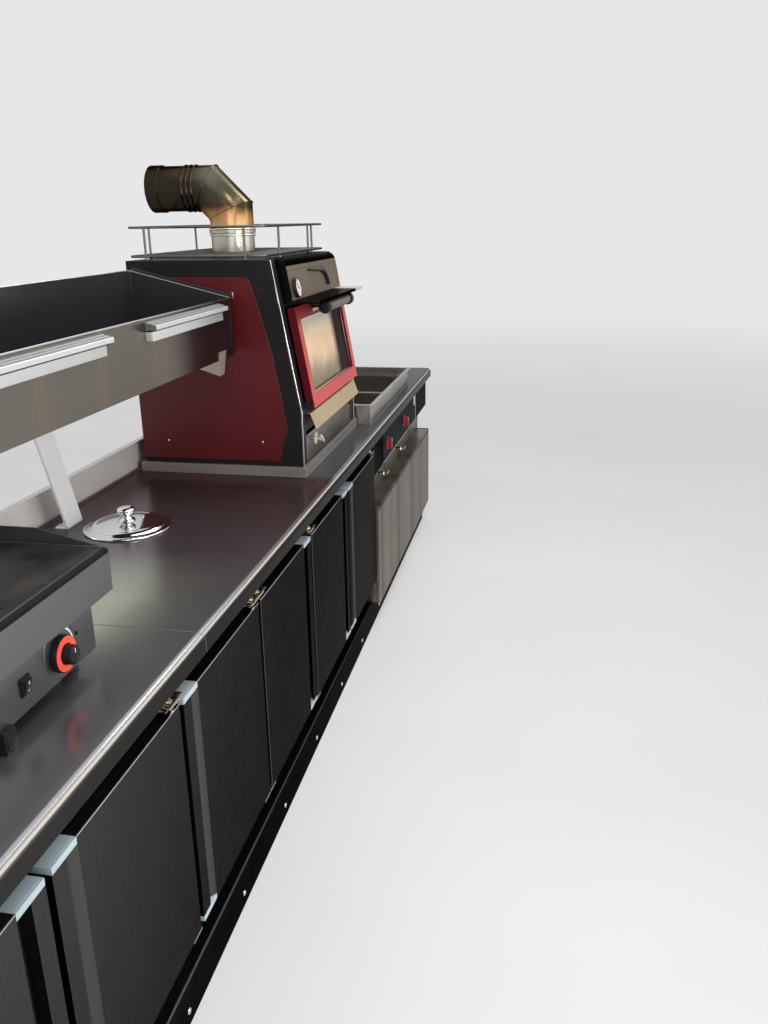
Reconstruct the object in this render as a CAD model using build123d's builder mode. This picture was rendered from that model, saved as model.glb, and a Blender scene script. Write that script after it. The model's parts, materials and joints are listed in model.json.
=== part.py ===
from build123d import *
import os
from math import cos, radians, sin, tan

# Food truck kitchen line: one stainless counter with six cupboards, a charcoal oven, a griddle,
# a twin-tank fryer and an open trough on leaning legs.
# Millimetres. X runs along the counter (+X is the fryer end), the doors face -Y, Z is up.
# The origin is the middle of the footprint, on the floor.

# Driving dimensions of the whole line
FRYER_LENGTH = 1492.0
LINE_DEPTH = 725.0
WORKTOP_TOP = 900.0
JOINT_GAP = 0.2

# Counter structure
END_PANEL = 20.0
WALL_GAP = 4.0
KERB_HEIGHT = 110.0
KERB_SETBACK = 48.0
KERB_LIP = 5.0
PLINTH_HEIGHT = 170.0
PLINTH_BEAM = 40.0
FLOOR_THICKNESS = 60.0
BACK_PANEL = 18.0
DIVIDER = 20.0
SHELF_THICKNESS = 12.0
SHELF_LIP = 22.0
SHELF_HEIGHT = 260.0
SHELF_SETBACK = 40.0
RAIL_THICKNESS = 20.0
RAIL_CLEARANCE = 9.0

# Cupboard doors
DOOR_PITCH = 493.0
DOOR_GAP = 18.0
DOOR_BOTTOM = 222.0
DOOR_TOP_DROP = 112.0
DOOR_SETBACK = 25.0
DOOR_THICKNESS = 42.0
DOOR_BACK_GAP = 10.0
DOOR_EDGE_RADIUS = 2.0
GRIP_WIDTH = 74.0
GRIP_BAR = 38.0
GRIP_DEPTH = 24.0
GRIP_UNDERCUT = 14.0
GRIP_ARC = 34.0
CAP_HEIGHT = 14.0
# handle side of each door along X: +1 is the far side, -1 the near side
HANDLE_SIDES = (1, -1, -1, 1, 1, -1)

# Door hinges
HINGE_INSET = 15.0
PIN_CLEARANCE = 0.3
COLLAR_RADIUS = 9.0
BRACKET_CLEARANCE = 5.7
BRACKET_THICKNESS = 4.0
BRACKET_WIDTH = 46.0
BRACKET_FLANGE = 34.0
BRACKET_REACH = 12.0

# Worktop
WORKTOP_THICKNESS = 40.0
NOSE_RADIUS = 20.0
APRON_DEPTH = 45.0
APRON_RETURN = 16.0
COVE_RADIUS = 10.0
UPSTAND_HEIGHT = 95.0
UPSTAND_THICKNESS = 20.0

# Fryer section
FRYER_OFFSET = 27.0
COLLAR_START = 42.0
COLLAR_LENGTH = 930.0
COLLAR_SETBACK = 46.0
COLLAR_DEPTH = 540.0
COLLAR_RISE = 84.0
COLLAR_WALL = 4.0
COLLAR_FLANGE = 14.0
TANK_DEPTH = 190.0
TANK_DECK_DROP = 40.0
TANK_MARGIN = 22.0
TANK_WALL = 4.0
TANK_RADIUS = 25.0
FASCIA_SETBACK = 29.0
FASCIA_DROP = 210.0
PANEL_THICKNESS = 4.0
PANEL_START = 192.0
PANEL_LENGTH = 891.0
PANEL_MARGIN = 10.0
KNOB_RADIUS = 24.0
KNOB_LENGTH = 22.0
KNOB_GRIP = 12.0
KNOB_DROP = 138.0
LEDGE_HEIGHT = 550.0
LEDGE_THICKNESS = 12.0
LOWER_SETBACK = 12.0
LOWER_PANEL = 18.0
CHEEK_OFFSET = 12.0
TAP_HEIGHT = 622.0
TAP_RADIUS = 12.0
TAP_LENGTH = 46.0
TAP_LEVER = 62.0

# Oven platform and oven
PLATFORM_HEIGHT = 32.0
PLATFORM_SHEET = 3.0
PLATFORM_MARGIN = 12.0
OVEN_FRYER_GAP = 28.0
OVEN_WIDTH = 750.0
OVEN_DEPTH = 557.0
OVEN_HEIGHT = 658.0
OVEN_SETBACK = 115.0
OVEN_KINK_HEIGHT = 184.0
OVEN_LEAN = 9.6
OVEN_SIDE = 55.0
OVEN_BACK = 50.0
HEARTH_BOTTOM = 108.0
CAVITY_BOTTOM = 208.0
ROOF_HEIGHT = 150.0
FLOOR_PAN = 6.0
SKIN_THICKNESS = 3.0
SKIN_BOTTOM = 16.0
SKIN_TOP_DROP = 51.0
TRIM_WIDTH = 7.0
TRIM_PROUD = 5.0
CONSOLE_HEIGHT = 127.0
CONSOLE_DEPTH = 80.0
CONSOLE_PROUD = 33.0
CONSOLE_RADIUS = 30.0
VISOR_THICKNESS = 10.0
VISOR_REACH = 118.0
DIAL_RADIUS = 32.0
DIAL_THICKNESS = 12.0
DIAL_INSET = 60.0
DIAL_DROP = 97.0

# Oven door
OVEN_DOOR_MARGIN = 55.0
OVEN_DOOR_BOTTOM = 181.0
OVEN_DOOR_CLEARANCE = 12.0
OVEN_DOOR_THICKNESS = 26.0
OVEN_DOOR_STANDOFF = 8.0
OVEN_DOOR_FRAME = 42.0
OVEN_HINGE_INSET = 10.0
GLASS_THICKNESS = 5.0
GLASS_DROP = 9.0
OVEN_PIN_RADIUS = 4.0
OVEN_PIN_LENGTH = 12.0
OVEN_LUG = 10.0
HANDLE_LENGTH = 360.0
HANDLE_RADIUS = 18.0
HANDLE_CAP_RADIUS = 22.0
HANDLE_CAP_LENGTH = 34.0
HANDLE_STANDOFF = 58.0
HANDLE_DROP = 22.0
POST_SIZE = 13.0
DRIP_HEIGHT = 172.0
DRIP_LEDGE = 18.0
DRIP_LEDGE_FALL = 3.0
DRIP_REACH = 37.0
DRIP_FALL = 56.0
DRIP_THICKNESS = 3.0

# Ash drawer and cooking grates
DRAWER_GAP = 5.0
DRAWER_HEIGHT = 88.0
DRAWER_DEPTH = 400.0
DRAWER_WALL = 3.0
GRATE_WIRE = 4.0
GRATE_ROD = 2.8
GRATE_SETBACK = 12.0
GRATE_PITCH = 60.0
GRATE_HEIGHTS = (250.0, 370.0)
GRATE_GAP = 0.4

# Flue
FLUE_RADIUS = 75.0
FLUE_WALL = 3.0
FLUE_SETBACK = 444.0
COLLAR_HEIGHT = 90.0
RIM_PROUD = 5.0
RIM_HEIGHT = 14.0
ELBOW_END = 59.0
ELBOW_SEGMENT = 107.0
ELBOW_TURN = 45.0
SOCKET_LENGTH = 40.0
SOCKET_PLAY = 0.4

# Wire gallery rack
RACK_INSET = 12.0
RACK_DEPTH = 450.0
RACK_BACK_INSET = 7.0
RACK_SHELF = 12.0
RACK_RAIL = 100.0
RACK_FRAME_RADIUS = 4.0
RACK_WIRE_RADIUS = 2.5
WIRE_SIDES = 6
RACK_PITCH = 56.0
RACK_CORNER = 18.0
RACK_FLUE_GAP = 20.0
POST_INSET = 60.0
POST_SPREAD = 200.0

# Griddle
GRIDDLE_OFFSET = 380.0
FOOT_SIZE = 28.0
GRIDDLE_LENGTH = 620.0
GRIDDLE_DEPTH = 440.0
GRIDDLE_SETBACK = 140.0
GRIDDLE_FOOT = 32.0
GRIDDLE_BASE_HEIGHT = 100.0
GRIDDLE_BASE_INSET = 58.0
GRIDDLE_BASE_SETBACK = 18.0
GRIDDLE_TOP_HEIGHT = 76.0
GRIDDLE_SHEET = 3.0
GUARD_RISE = 42.0
GUARD_SLOPE = 150.0
GUARD_FRONT_RISE = 8.0
PLATE_THICKNESS = 12.0
PLATE_MARGIN = 6.0
FOOT_INSET = 40.0
CONTROL_RADIUS = 21.0
CONTROL_STEP = 8.0
CONTROL_LENGTH = 20.0
CONTROL_INSET = 116.0
BEZEL_THICKNESS = 4.0
SWITCH_OFFSET = 170.0
SWITCH_WIDTH = 22.0
SWITCH_HEIGHT = 30.0

# Trough
TROUGH_OFFSET = 386.0
TROUGH_OVEN_GAP = 56.0
TROUGH_SETBACK = 305.0
TROUGH_DEPTH = 330.0
TROUGH_LIFT = 409.0
TROUGH_FRONT_RISE = 172.0
TROUGH_BACK_RISE = 254.0
TROUGH_SHEET = 3.0
TROUGH_FLANGE = 18.0
LEG_WIDTH = 80.0
LEG_THICKNESS = 8.0
LEG_LEAN = 131.0
LEG_NEAR_INSET = 250.0
LEG_FAR_INSET = 508.0
LEG_BACK_INSET = 6.0
FOOT_PLATE = 4.0
FOOT_PLATE_DEPTH = 40.0
TICKET_WIDTH = 30.0
TICKET_HEIGHT = 47.0
TICKET_DROP = 6.0
TICKET_FALL = 8.0
TICKET_LIP = 12.0
TICKET_NEAR_INSET = 60.0
TICKET_FAR_INSET = 110.0
TICKET_FAR_LENGTH = 492.0
TICKET_GAP = 218.0
TICKET_PLATE_SHORT = 14.0

# Pan lid
LID_RADIUS = 120.0
LID_FLANGE = 16.0
LID_HEIGHT = 22.0
LID_SHEET = 3.0
LID_OVEN_GAP = 559.0
LID_SETBACK = 465.0
LID_KNOB_RADIUS = 20.0
LID_KNOB_HEIGHT = 32.0

# Places worked out from the driving dimensions
door_count = len(HANDLE_SIDES)
line_length = END_PANEL + door_count * DOOR_PITCH + FRYER_LENGTH
near_x = -line_length / 2
far_x = line_length / 2
front_y = -LINE_DEPTH / 2
back_y = LINE_DEPTH / 2
door_top = WORKTOP_TOP - DOOR_TOP_DROP
fascia_bottom = WORKTOP_TOP - FASCIA_DROP
door_width = DOOR_PITCH - DOOR_GAP
door_height = door_top - DOOR_BOTTOM
door_front_y = front_y + DOOR_SETBACK
door_back_y = door_front_y + DOOR_THICKNESS
carcass_y = door_back_y + DOOR_BACK_GAP
first_boundary = near_x + END_PANEL
boundaries = [first_boundary + i * DOOR_PITCH for i in range(door_count + 1)]
last_boundary = boundaries[-1]
worktop_under = WORKTOP_TOP - WORKTOP_THICKNESS
carcass_back = back_y - WALL_GAP
floor_top = PLINTH_HEIGHT + FLOOR_THICKNESS
back_panel_front = carcass_back - BACK_PANEL
rail_front = carcass_y - RAIL_THICKNESS - JOINT_GAP
os.makedirs("parts", exist_ok=True)


def save(solid, name):
    solid.label = name
    export_step(solid, f"parts/{name}.step")


def block(x_span, y_span, z_span):
    """A box between named faces, added to the part in hand."""
    centre = [(low + high) / 2 for low, high in (x_span, y_span, z_span)]
    size = [high - low for low, high in (x_span, y_span, z_span)]
    with Locations(tuple(centre)):
        Box(*size)


# Kick kerb along the floor, with a small bright lip on its top edge
with BuildPart() as kick_kerb:
    with BuildSketch(Plane.YZ.offset(near_x)) as kerb_profile:
        with BuildLine():
            Polyline(
                (front_y + KERB_SETBACK, 0),
                (front_y + KERB_SETBACK, KERB_HEIGHT),
                (carcass_y - JOINT_GAP, KERB_HEIGHT),
                (carcass_y - JOINT_GAP, 0),
                close=True,
            )
        make_face()
    extrude(amount=line_length)
    lip_edge = kick_kerb.edges().filter_by(Axis.X).group_by(Axis.Z)[-1].sort_by(Axis.Y)[0]
    fillet(lip_edge, KERB_LIP)
save(kick_kerb.part, "kick_kerb")

# Plinth beams under the cupboards: a front and a rear beam with bearers between them
with BuildPart() as plinth_beams:
    beam_x = (near_x + END_PANEL + JOINT_GAP, far_x - END_PANEL - JOINT_GAP)
    beam_z = (0, PLINTH_HEIGHT - JOINT_GAP)
    block(beam_x, (carcass_y, carcass_y + PLINTH_BEAM), beam_z)
    block(beam_x, (carcass_back - PLINTH_BEAM, carcass_back), beam_z)
    bearer_y = (carcass_y + PLINTH_BEAM + JOINT_GAP, carcass_back - PLINTH_BEAM - JOINT_GAP)
    for boundary in boundaries[1:]:
        block((boundary - PLINTH_BEAM / 2, boundary + PLINTH_BEAM / 2), bearer_y, beam_z)
save(plinth_beams.part, "plinth_beams")

# Cupboard floor, back and dividers
with BuildPart() as cabinet_panels:
    panel_x = (near_x + END_PANEL + JOINT_GAP, far_x - END_PANEL - JOINT_GAP)
    block(panel_x, (carcass_y, back_panel_front - JOINT_GAP), (PLINTH_HEIGHT, floor_top))
    block(panel_x, (back_panel_front, carcass_back), (PLINTH_HEIGHT, worktop_under - JOINT_GAP))
    divider_y = (carcass_y, back_panel_front - JOINT_GAP)
    divider_z = (floor_top + JOINT_GAP, worktop_under - JOINT_GAP)
    for boundary in boundaries[1:]:
        block((boundary - DIVIDER / 2, boundary + DIVIDER / 2), divider_y, divider_z)
save(cabinet_panels.part, "cabinet_panels")

# One shelf with a turned-down front lip in each cupboard
with BuildPart() as cabinet_shelves:
    shelf_top = floor_top + SHELF_HEIGHT
    shelf_y = (carcass_y + SHELF_SETBACK, back_panel_front - JOINT_GAP)
    for i in range(door_count):
        low_wall = DIVIDER / 2 if i else 0.0
        shelf_x = (boundaries[i] + low_wall + JOINT_GAP, boundaries[i + 1] - DIVIDER / 2 - JOINT_GAP)
        block(shelf_x, shelf_y, (shelf_top - SHELF_THICKNESS, shelf_top))
        block(shelf_x, (shelf_y[0], shelf_y[0] + SHELF_THICKNESS), (shelf_top - SHELF_LIP, shelf_top))
save(cabinet_shelves.part, "cabinet_shelves")

# End panels, which stand on the floor; the far one steps forward round the fryer's front
fascia_y = front_y + FASCIA_SETBACK
lower_front = front_y + LOWER_SETBACK
with BuildPart() as end_panels:
    panel_top = worktop_under - JOINT_GAP
    block((near_x, near_x + END_PANEL), (carcass_y, carcass_back), (0, panel_top))
    with BuildSketch(Plane.YZ.offset(far_x - END_PANEL)):
        with BuildLine():
            Polyline(
                (carcass_y, 0),
                (carcass_y, KERB_HEIGHT + JOINT_GAP),
                (lower_front, KERB_HEIGHT + JOINT_GAP),
                (lower_front, LEDGE_HEIGHT),
                (carcass_y, LEDGE_HEIGHT),
                (carcass_y, fascia_bottom),
                (fascia_y, fascia_bottom),
                (fascia_y, panel_top),
                (carcass_back, panel_top),
                (carcass_back, 0),
                close=True,
            )
        make_face()
    extrude(amount=END_PANEL)
save(end_panels.part, "end_panels")

# Front rail in the shadow gap between the doors and the worktop
with BuildPart() as top_rail:
    block(
        (near_x, last_boundary + DIVIDER / 2),
        (rail_front, carcass_y - JOINT_GAP),
        (door_top + RAIL_CLEARANCE, worktop_under - JOINT_GAP),
    )
save(top_rail.part, "top_rail")

# Hinge axes, one for each door, on the side away from its handle
hinge_y = door_front_y + HINGE_INSET
hinge_xs = []
for i, side in enumerate(HANDLE_SIDES):
    door_middle = (boundaries[i] + boundaries[i + 1]) / 2
    hinge_xs.append(door_middle - side * (door_width / 2 - HINGE_INSET))

# Hinge brackets above and below each door, each with the half-round collar that the door turns on
with BuildPart() as hinge_brackets:
    for hinge_x in hinge_xs:
        # columns: face of the door, direction away from the door, face that carries the bracket
        for face_z, away, carrier_y in ((door_top, 1, rail_front), (DOOR_BOTTOM, -1, carcass_y)):
            inner_z = face_z + away * BRACKET_CLEARANCE
            outer_z = inner_z + away * BRACKET_THICKNESS
            flange_z = inner_z + away * BRACKET_FLANGE
            mount_y = carrier_y - JOINT_GAP
            wide = (hinge_x - BRACKET_WIDTH / 2, hinge_x + BRACKET_WIDTH / 2)
            block(wide, (hinge_y - BRACKET_REACH, mount_y), sorted((inner_z, outer_z)))
            block(wide, (mount_y - BRACKET_THICKNESS, mount_y), sorted((inner_z, flange_z)))
            collar_z = face_z + away * PIN_CLEARANCE
            with BuildSketch(Plane.XY.offset(collar_z)):
                with Locations((hinge_x, hinge_y)):
                    Circle(COLLAR_RADIUS)
                    with Locations((0, COLLAR_RADIUS / 2)):
                        Rectangle(2 * COLLAR_RADIUS, COLLAR_RADIUS, mode=Mode.SUBTRACT)
            extrude(amount=away * (BRACKET_CLEARANCE - PIN_CLEARANCE))
save(hinge_brackets.part, "hinge_brackets")


def grip_corner(middle_x, side):
    """The door's front corner on its handle side; the grip is drawn inward from it."""
    return middle_x + side * door_width / 2


# Cupboard doors: a flat leaf with a full-height finger groove behind a grip bar
for i, side in enumerate(HANDLE_SIDES):
    door_middle = (boundaries[i] + boundaries[i + 1]) / 2
    corner_x = grip_corner(door_middle, side)
    with BuildPart() as door:
        with BuildSketch(Plane.XY.offset(DOOR_BOTTOM)):
            with Locations((door_middle, door_front_y + DOOR_THICKNESS / 2)):
                Rectangle(door_width, DOOR_THICKNESS)
            with BuildLine():
                bar_end = (corner_x - side * GRIP_BAR, door_front_y)
                bar_back = (corner_x - side * (GRIP_BAR - GRIP_UNDERCUT), door_front_y + GRIP_DEPTH / 2)
                groove_end = (corner_x - side * (GRIP_BAR - GRIP_UNDERCUT), door_front_y + GRIP_DEPTH)
                groove_bed = (corner_x - side * (GRIP_WIDTH - GRIP_DEPTH), door_front_y + GRIP_DEPTH)
                face_start = (corner_x - side * GRIP_WIDTH, door_front_y)
                Polyline(face_start, bar_end, bar_back, groove_end, groove_bed)
                RadiusArc(groove_bed, face_start, side * GRIP_ARC)
            make_face(mode=Mode.SUBTRACT)
        extrude(amount=door_height)
        leaf_corners = door.edges().filter_by(Axis.Z).group_by(Axis.Y)[0]
        fillet(leaf_corners.sort_by(Axis.X)[-1 if side < 0 else 0], DOOR_EDGE_RADIUS)
        for cap_z in (DOOR_BOTTOM, door_top - CAP_HEIGHT):
            with BuildSketch(Plane.XY.offset(cap_z)):
                with Locations((corner_x - side * GRIP_WIDTH / 2, door_front_y + DOOR_THICKNESS / 2)):
                    Rectangle(GRIP_WIDTH + 2 * JOINT_GAP, DOOR_THICKNESS)
            extrude(amount=CAP_HEIGHT, mode=Mode.SUBTRACT)
    save(door.part, f"door_{i + 1}")

    with BuildPart() as door_caps:
        cap_middle = corner_x - side * (GRIP_WIDTH - JOINT_GAP) / 2
        for cap_z in (DOOR_BOTTOM, door_top - CAP_HEIGHT + JOINT_GAP):
            with BuildSketch(Plane.XY.offset(cap_z)):
                with Locations((cap_middle, door_front_y + DOOR_THICKNESS / 2)):
                    Rectangle(GRIP_WIDTH - JOINT_GAP, DOOR_THICKNESS)
            extrude(amount=CAP_HEIGHT - JOINT_GAP)
    save(door_caps.part, f"door_{i + 1}_caps")


def worktop_profile(start_x):
    """Side profile of the worktop: rolled front nose, apron, coved upstand."""
    upstand_front = back_y - UPSTAND_THICKNESS
    upstand_top = WORKTOP_TOP + UPSTAND_HEIGHT
    apron_z = WORKTOP_TOP - APRON_DEPTH
    with BuildSketch(Plane.YZ.offset(start_x)) as profile:
        with BuildLine():
            nose = Polyline(
                (front_y + NOSE_RADIUS, WORKTOP_TOP),
                (upstand_front - COVE_RADIUS, WORKTOP_TOP),
            )
            cove = RadiusArc(nose @ 1, (upstand_front, WORKTOP_TOP + COVE_RADIUS), -COVE_RADIUS)
            rear = Polyline(
                cove @ 1,
                (upstand_front, upstand_top),
                (back_y, upstand_top),
                (back_y, worktop_under),
                (front_y + APRON_RETURN, worktop_under),
                (front_y + APRON_RETURN, apron_z),
                (front_y, apron_z),
                (front_y, WORKTOP_TOP - NOSE_RADIUS),
            )
            RadiusArc(rear @ 1, nose @ 0, NOSE_RADIUS)
        make_face()
    return profile.sketch


# Worktop over the cupboards
fryer_start = last_boundary + FRYER_OFFSET
with BuildPart() as worktop:
    add(worktop_profile(near_x))
    extrude(amount=fryer_start - near_x - JOINT_GAP, dir=(1, 0, 0))
save(worktop.part, "worktop")

# Fryer top: the same profile, with the opening for the raised collar
collar_x = (last_boundary + COLLAR_START, last_boundary + COLLAR_START + COLLAR_LENGTH)
collar_y = (front_y + COLLAR_SETBACK, front_y + COLLAR_SETBACK + COLLAR_DEPTH)
collar_middle = ((collar_x[0] + collar_x[1]) / 2, (collar_y[0] + collar_y[1]) / 2)
with BuildPart() as fryer_top:
    add(worktop_profile(fryer_start))
    extrude(amount=far_x - fryer_start, dir=(1, 0, 0))
    with BuildSketch(Plane.XY.offset(worktop_under)):
        with Locations(collar_middle):
            Rectangle(COLLAR_LENGTH + 2 * JOINT_GAP, COLLAR_DEPTH + 2 * JOINT_GAP)
    extrude(amount=WORKTOP_THICKNESS, mode=Mode.SUBTRACT)
save(fryer_top.part, "fryer_top")

# Raised collar around the fryer tanks, with an outward top flange
collar_top = WORKTOP_TOP + COLLAR_RISE
with BuildPart() as fryer_collar:
    with BuildSketch(Plane.XY.offset(worktop_under)):
        with Locations(collar_middle):
            Rectangle(COLLAR_LENGTH, COLLAR_DEPTH)
            Rectangle(COLLAR_LENGTH - 2 * COLLAR_WALL, COLLAR_DEPTH - 2 * COLLAR_WALL, mode=Mode.SUBTRACT)
    extrude(amount=collar_top - worktop_under)
    with BuildSketch(Plane.XY.offset(collar_top - COLLAR_WALL)):
        with Locations(collar_middle):
            Rectangle(COLLAR_LENGTH + 2 * COLLAR_FLANGE, COLLAR_DEPTH + 2 * COLLAR_FLANGE)
            Rectangle(COLLAR_LENGTH - 2 * COLLAR_WALL, COLLAR_DEPTH - 2 * COLLAR_WALL, mode=Mode.SUBTRACT)
    extrude(amount=COLLAR_WALL)
save(fryer_collar.part, "fryer_collar")

# Twin fryer tanks hanging from one deck inside the collar
deck_top = collar_top - TANK_DECK_DROP
deck_length = COLLAR_LENGTH - 2 * COLLAR_WALL - 2 * JOINT_GAP
deck_depth = COLLAR_DEPTH - 2 * COLLAR_WALL - 2 * JOINT_GAP
tank_length = (deck_length - 3 * TANK_MARGIN) / 2
tank_depth = deck_depth - 2 * TANK_MARGIN
tank_pitch = tank_length + TANK_MARGIN
tank_places = [(collar_middle[0] + k * tank_pitch / 2, collar_middle[1]) for k in (-1, 1)]
with BuildPart() as fryer_tanks:
    with BuildSketch(Plane.XY.offset(deck_top - TANK_WALL)):
        with Locations(collar_middle):
            Rectangle(deck_length, deck_depth)
    extrude(amount=TANK_WALL)
    with BuildSketch(Plane.XY.offset(deck_top - TANK_DEPTH)):
        with Locations(*tank_places):
            Rectangle(tank_length, tank_depth)
    extrude(amount=TANK_DEPTH - TANK_WALL)
    with BuildSketch(Plane.XY.offset(deck_top - TANK_DEPTH + TANK_WALL)):
        with Locations(*tank_places):
            RectangleRounded(tank_length - 2 * TANK_WALL, tank_depth - 2 * TANK_WALL, TANK_RADIUS)
    extrude(amount=TANK_DEPTH, mode=Mode.SUBTRACT)
save(fryer_tanks.part, "fryer_tanks")

# Steel fascia under the fryer top, and the black control panel on it
fascia_top = worktop_under - JOINT_GAP
with BuildPart() as fryer_fascia:
    block(
        (last_boundary + CHEEK_OFFSET, far_x - END_PANEL - JOINT_GAP),
        (fascia_y, collar_y[0] - 2 * JOINT_GAP),
        (fascia_bottom, fascia_top),
    )
save(fryer_fascia.part, "fryer_fascia")

panel_x = (last_boundary + PANEL_START, last_boundary + PANEL_START + PANEL_LENGTH)
with BuildPart() as control_panel:
    block(
        panel_x,
        (fascia_y - PANEL_THICKNESS - JOINT_GAP, fascia_y - JOINT_GAP),
        (fascia_bottom + PANEL_MARGIN, WORKTOP_TOP - APRON_DEPTH - PANEL_MARGIN),
    )
save(control_panel.part, "control_panel")

# Two fryer knobs, one below each tank
with BuildPart() as fryer_knobs:
    knob_face = fascia_y - PANEL_THICKNESS - 2 * JOINT_GAP
    knob_places = [(place[0], WORKTOP_TOP - KNOB_DROP) for place in tank_places]
    with BuildSketch(Plane.XZ.offset(-knob_face)):
        with Locations(*knob_places):
            Circle(KNOB_RADIUS)
    extrude(amount=KNOB_LENGTH / 3)
    with BuildSketch(Plane.XZ.offset(-knob_face + KNOB_LENGTH / 3)):
        with Locations(*knob_places):
            Rectangle(KNOB_GRIP, 2 * KNOB_RADIUS - KNOB_GRIP)
    extrude(amount=KNOB_LENGTH * 2 / 3)
save(fryer_knobs.part, "fryer_knobs")

# Lower fryer cabinet: near cheek, front panel, ledge, and the wall of the tap recess
ledge_under = LEDGE_HEIGHT - LEDGE_THICKNESS
cheek_x = last_boundary + CHEEK_OFFSET
with BuildPart() as fryer_cabinet:
    lower_z = (KERB_HEIGHT + JOINT_GAP, ledge_under - JOINT_GAP)
    block((cheek_x, far_x - END_PANEL - JOINT_GAP), (lower_front, lower_front + LOWER_PANEL), lower_z)
    cheek_y = (lower_front + LOWER_PANEL + JOINT_GAP, carcass_y - JOINT_GAP)
    block((cheek_x, cheek_x + LOWER_PANEL), cheek_y, lower_z)
    ledge_y = (lower_front, carcass_y - JOINT_GAP)
    block((cheek_x, far_x - END_PANEL - JOINT_GAP), ledge_y, (ledge_under, LEDGE_HEIGHT))
    recess_x = (last_boundary + DIVIDER / 2 + JOINT_GAP, far_x - END_PANEL - JOINT_GAP)
    recess_z = (floor_top + JOINT_GAP, fascia_bottom - JOINT_GAP)
    block(recess_x, (carcass_y, carcass_y + LOWER_PANEL), recess_z)
save(fryer_cabinet.part, "fryer_cabinet")

# Drain taps in the recess, one for each tank
with BuildPart() as drain_taps:
    for place in tank_places:
        with BuildSketch(Plane.XZ.offset(-carcass_y + JOINT_GAP)):
            with Locations((place[0], TAP_HEIGHT)):
                RegularPolygon(TAP_RADIUS, 6)
        extrude(amount=TAP_LENGTH)
        with BuildSketch(Plane.XZ.offset(-carcass_y + JOINT_GAP + TAP_LENGTH)):
            with Locations((place[0] + TAP_LEVER / 2 - TAP_RADIUS / 2, TAP_HEIGHT)):
                Rectangle(TAP_LEVER, TAP_RADIUS)
        extrude(amount=TAP_RADIUS / 2)
save(drain_taps.part, "drain_taps")

# Oven platform: a folded tray turned upside down on the worktop
platform_top = WORKTOP_TOP + PLATFORM_HEIGHT
oven_far = collar_x[0] - OVEN_FRYER_GAP
oven_x = (oven_far - OVEN_WIDTH, oven_far)
oven_middle = (oven_x[0] + oven_x[1]) / 2
oven_front = front_y + OVEN_SETBACK
oven_rear = oven_front + OVEN_DEPTH
platform_y = (oven_front - PLATFORM_MARGIN, oven_rear + PLATFORM_MARGIN)
with BuildPart() as oven_platform:
    platform_z = (WORKTOP_TOP + JOINT_GAP, platform_top - JOINT_GAP)
    block((oven_x[0] - PLATFORM_MARGIN, oven_x[1] + PLATFORM_MARGIN), platform_y, platform_z)
    offset(amount=-PLATFORM_SHEET, openings=oven_platform.faces().sort_by(Axis.Z)[0])
save(oven_platform.part, "oven_platform")

# Oven body. Heights below are above the platform.
lean = radians(OVEN_LEAN)
cavity_top = OVEN_HEIGHT - ROOF_HEIGHT
console_bottom = OVEN_HEIGHT - CONSOLE_HEIGHT
visor_bottom = console_bottom - VISOR_THICKNESS


def oven_face(height):
    """Y of the oven's front at a height above the platform."""
    return oven_front + max(0.0, height - OVEN_KINK_HEIGHT) * tan(lean)


def oven_slice(start_x, bottom, top, rear_y):
    """Side profile of the oven between two heights, cut to the leaning front."""
    points = [(oven_face(bottom), platform_top + bottom)]
    if bottom < OVEN_KINK_HEIGHT < top:
        points.append((oven_face(OVEN_KINK_HEIGHT), platform_top + OVEN_KINK_HEIGHT))
    points.append((oven_face(top), platform_top + top))
    points.append((rear_y, platform_top + top))
    points.append((rear_y, platform_top + bottom))
    with BuildSketch(Plane.YZ.offset(start_x)) as profile:
        with BuildLine():
            Polyline(*points, close=True)
        make_face()
    return profile.sketch


inner_x = (oven_x[0] + OVEN_SIDE + JOINT_GAP, oven_x[1] - OVEN_SIDE - JOINT_GAP)
inner_width = inner_x[1] - inner_x[0]
back_front = oven_rear - OVEN_BACK
with BuildPart() as oven_body:
    for side_x in (oven_x[0], oven_x[1] - OVEN_SIDE):
        add(oven_slice(side_x, 0, OVEN_HEIGHT, oven_rear))
        extrude(amount=OVEN_SIDE, dir=(1, 0, 0))
    # the floor pan and the hearth slab lie between the sides, with the ash drawer between them
    for slab_bottom, slab_top in ((0, FLOOR_PAN), (HEARTH_BOTTOM, CAVITY_BOTTOM)):
        add(oven_slice(inner_x[0], slab_bottom, slab_top, back_front - JOINT_GAP))
        extrude(amount=inner_width, dir=(1, 0, 0))
    block(inner_x, (back_front, oven_rear), (platform_top, platform_top + cavity_top - JOINT_GAP))
    with BuildSketch(Plane.YZ.offset(inner_x[0])) as roof_profile:
        with BuildLine():
            Polyline(
                (oven_face(cavity_top), platform_top + cavity_top),
                (oven_face(console_bottom), platform_top + console_bottom - JOINT_GAP),
                (oven_face(console_bottom) + CONSOLE_DEPTH, platform_top + console_bottom - JOINT_GAP),
                (oven_face(console_bottom) + CONSOLE_DEPTH, platform_top + OVEN_HEIGHT),
                (oven_rear, platform_top + OVEN_HEIGHT),
                (oven_rear, platform_top + cavity_top),
                close=True,
            )
        make_face()
    extrude(amount=inner_width)
save(oven_body.part, "oven_body")

# Red side panels on the oven's flanks
skin_top = OVEN_HEIGHT - SKIN_TOP_DROP
# the panel's front edge: setback from the oven's front, height above the platform
skin_low = ((76, SKIN_BOTTOM), (65, 70), (46, 119))
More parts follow.
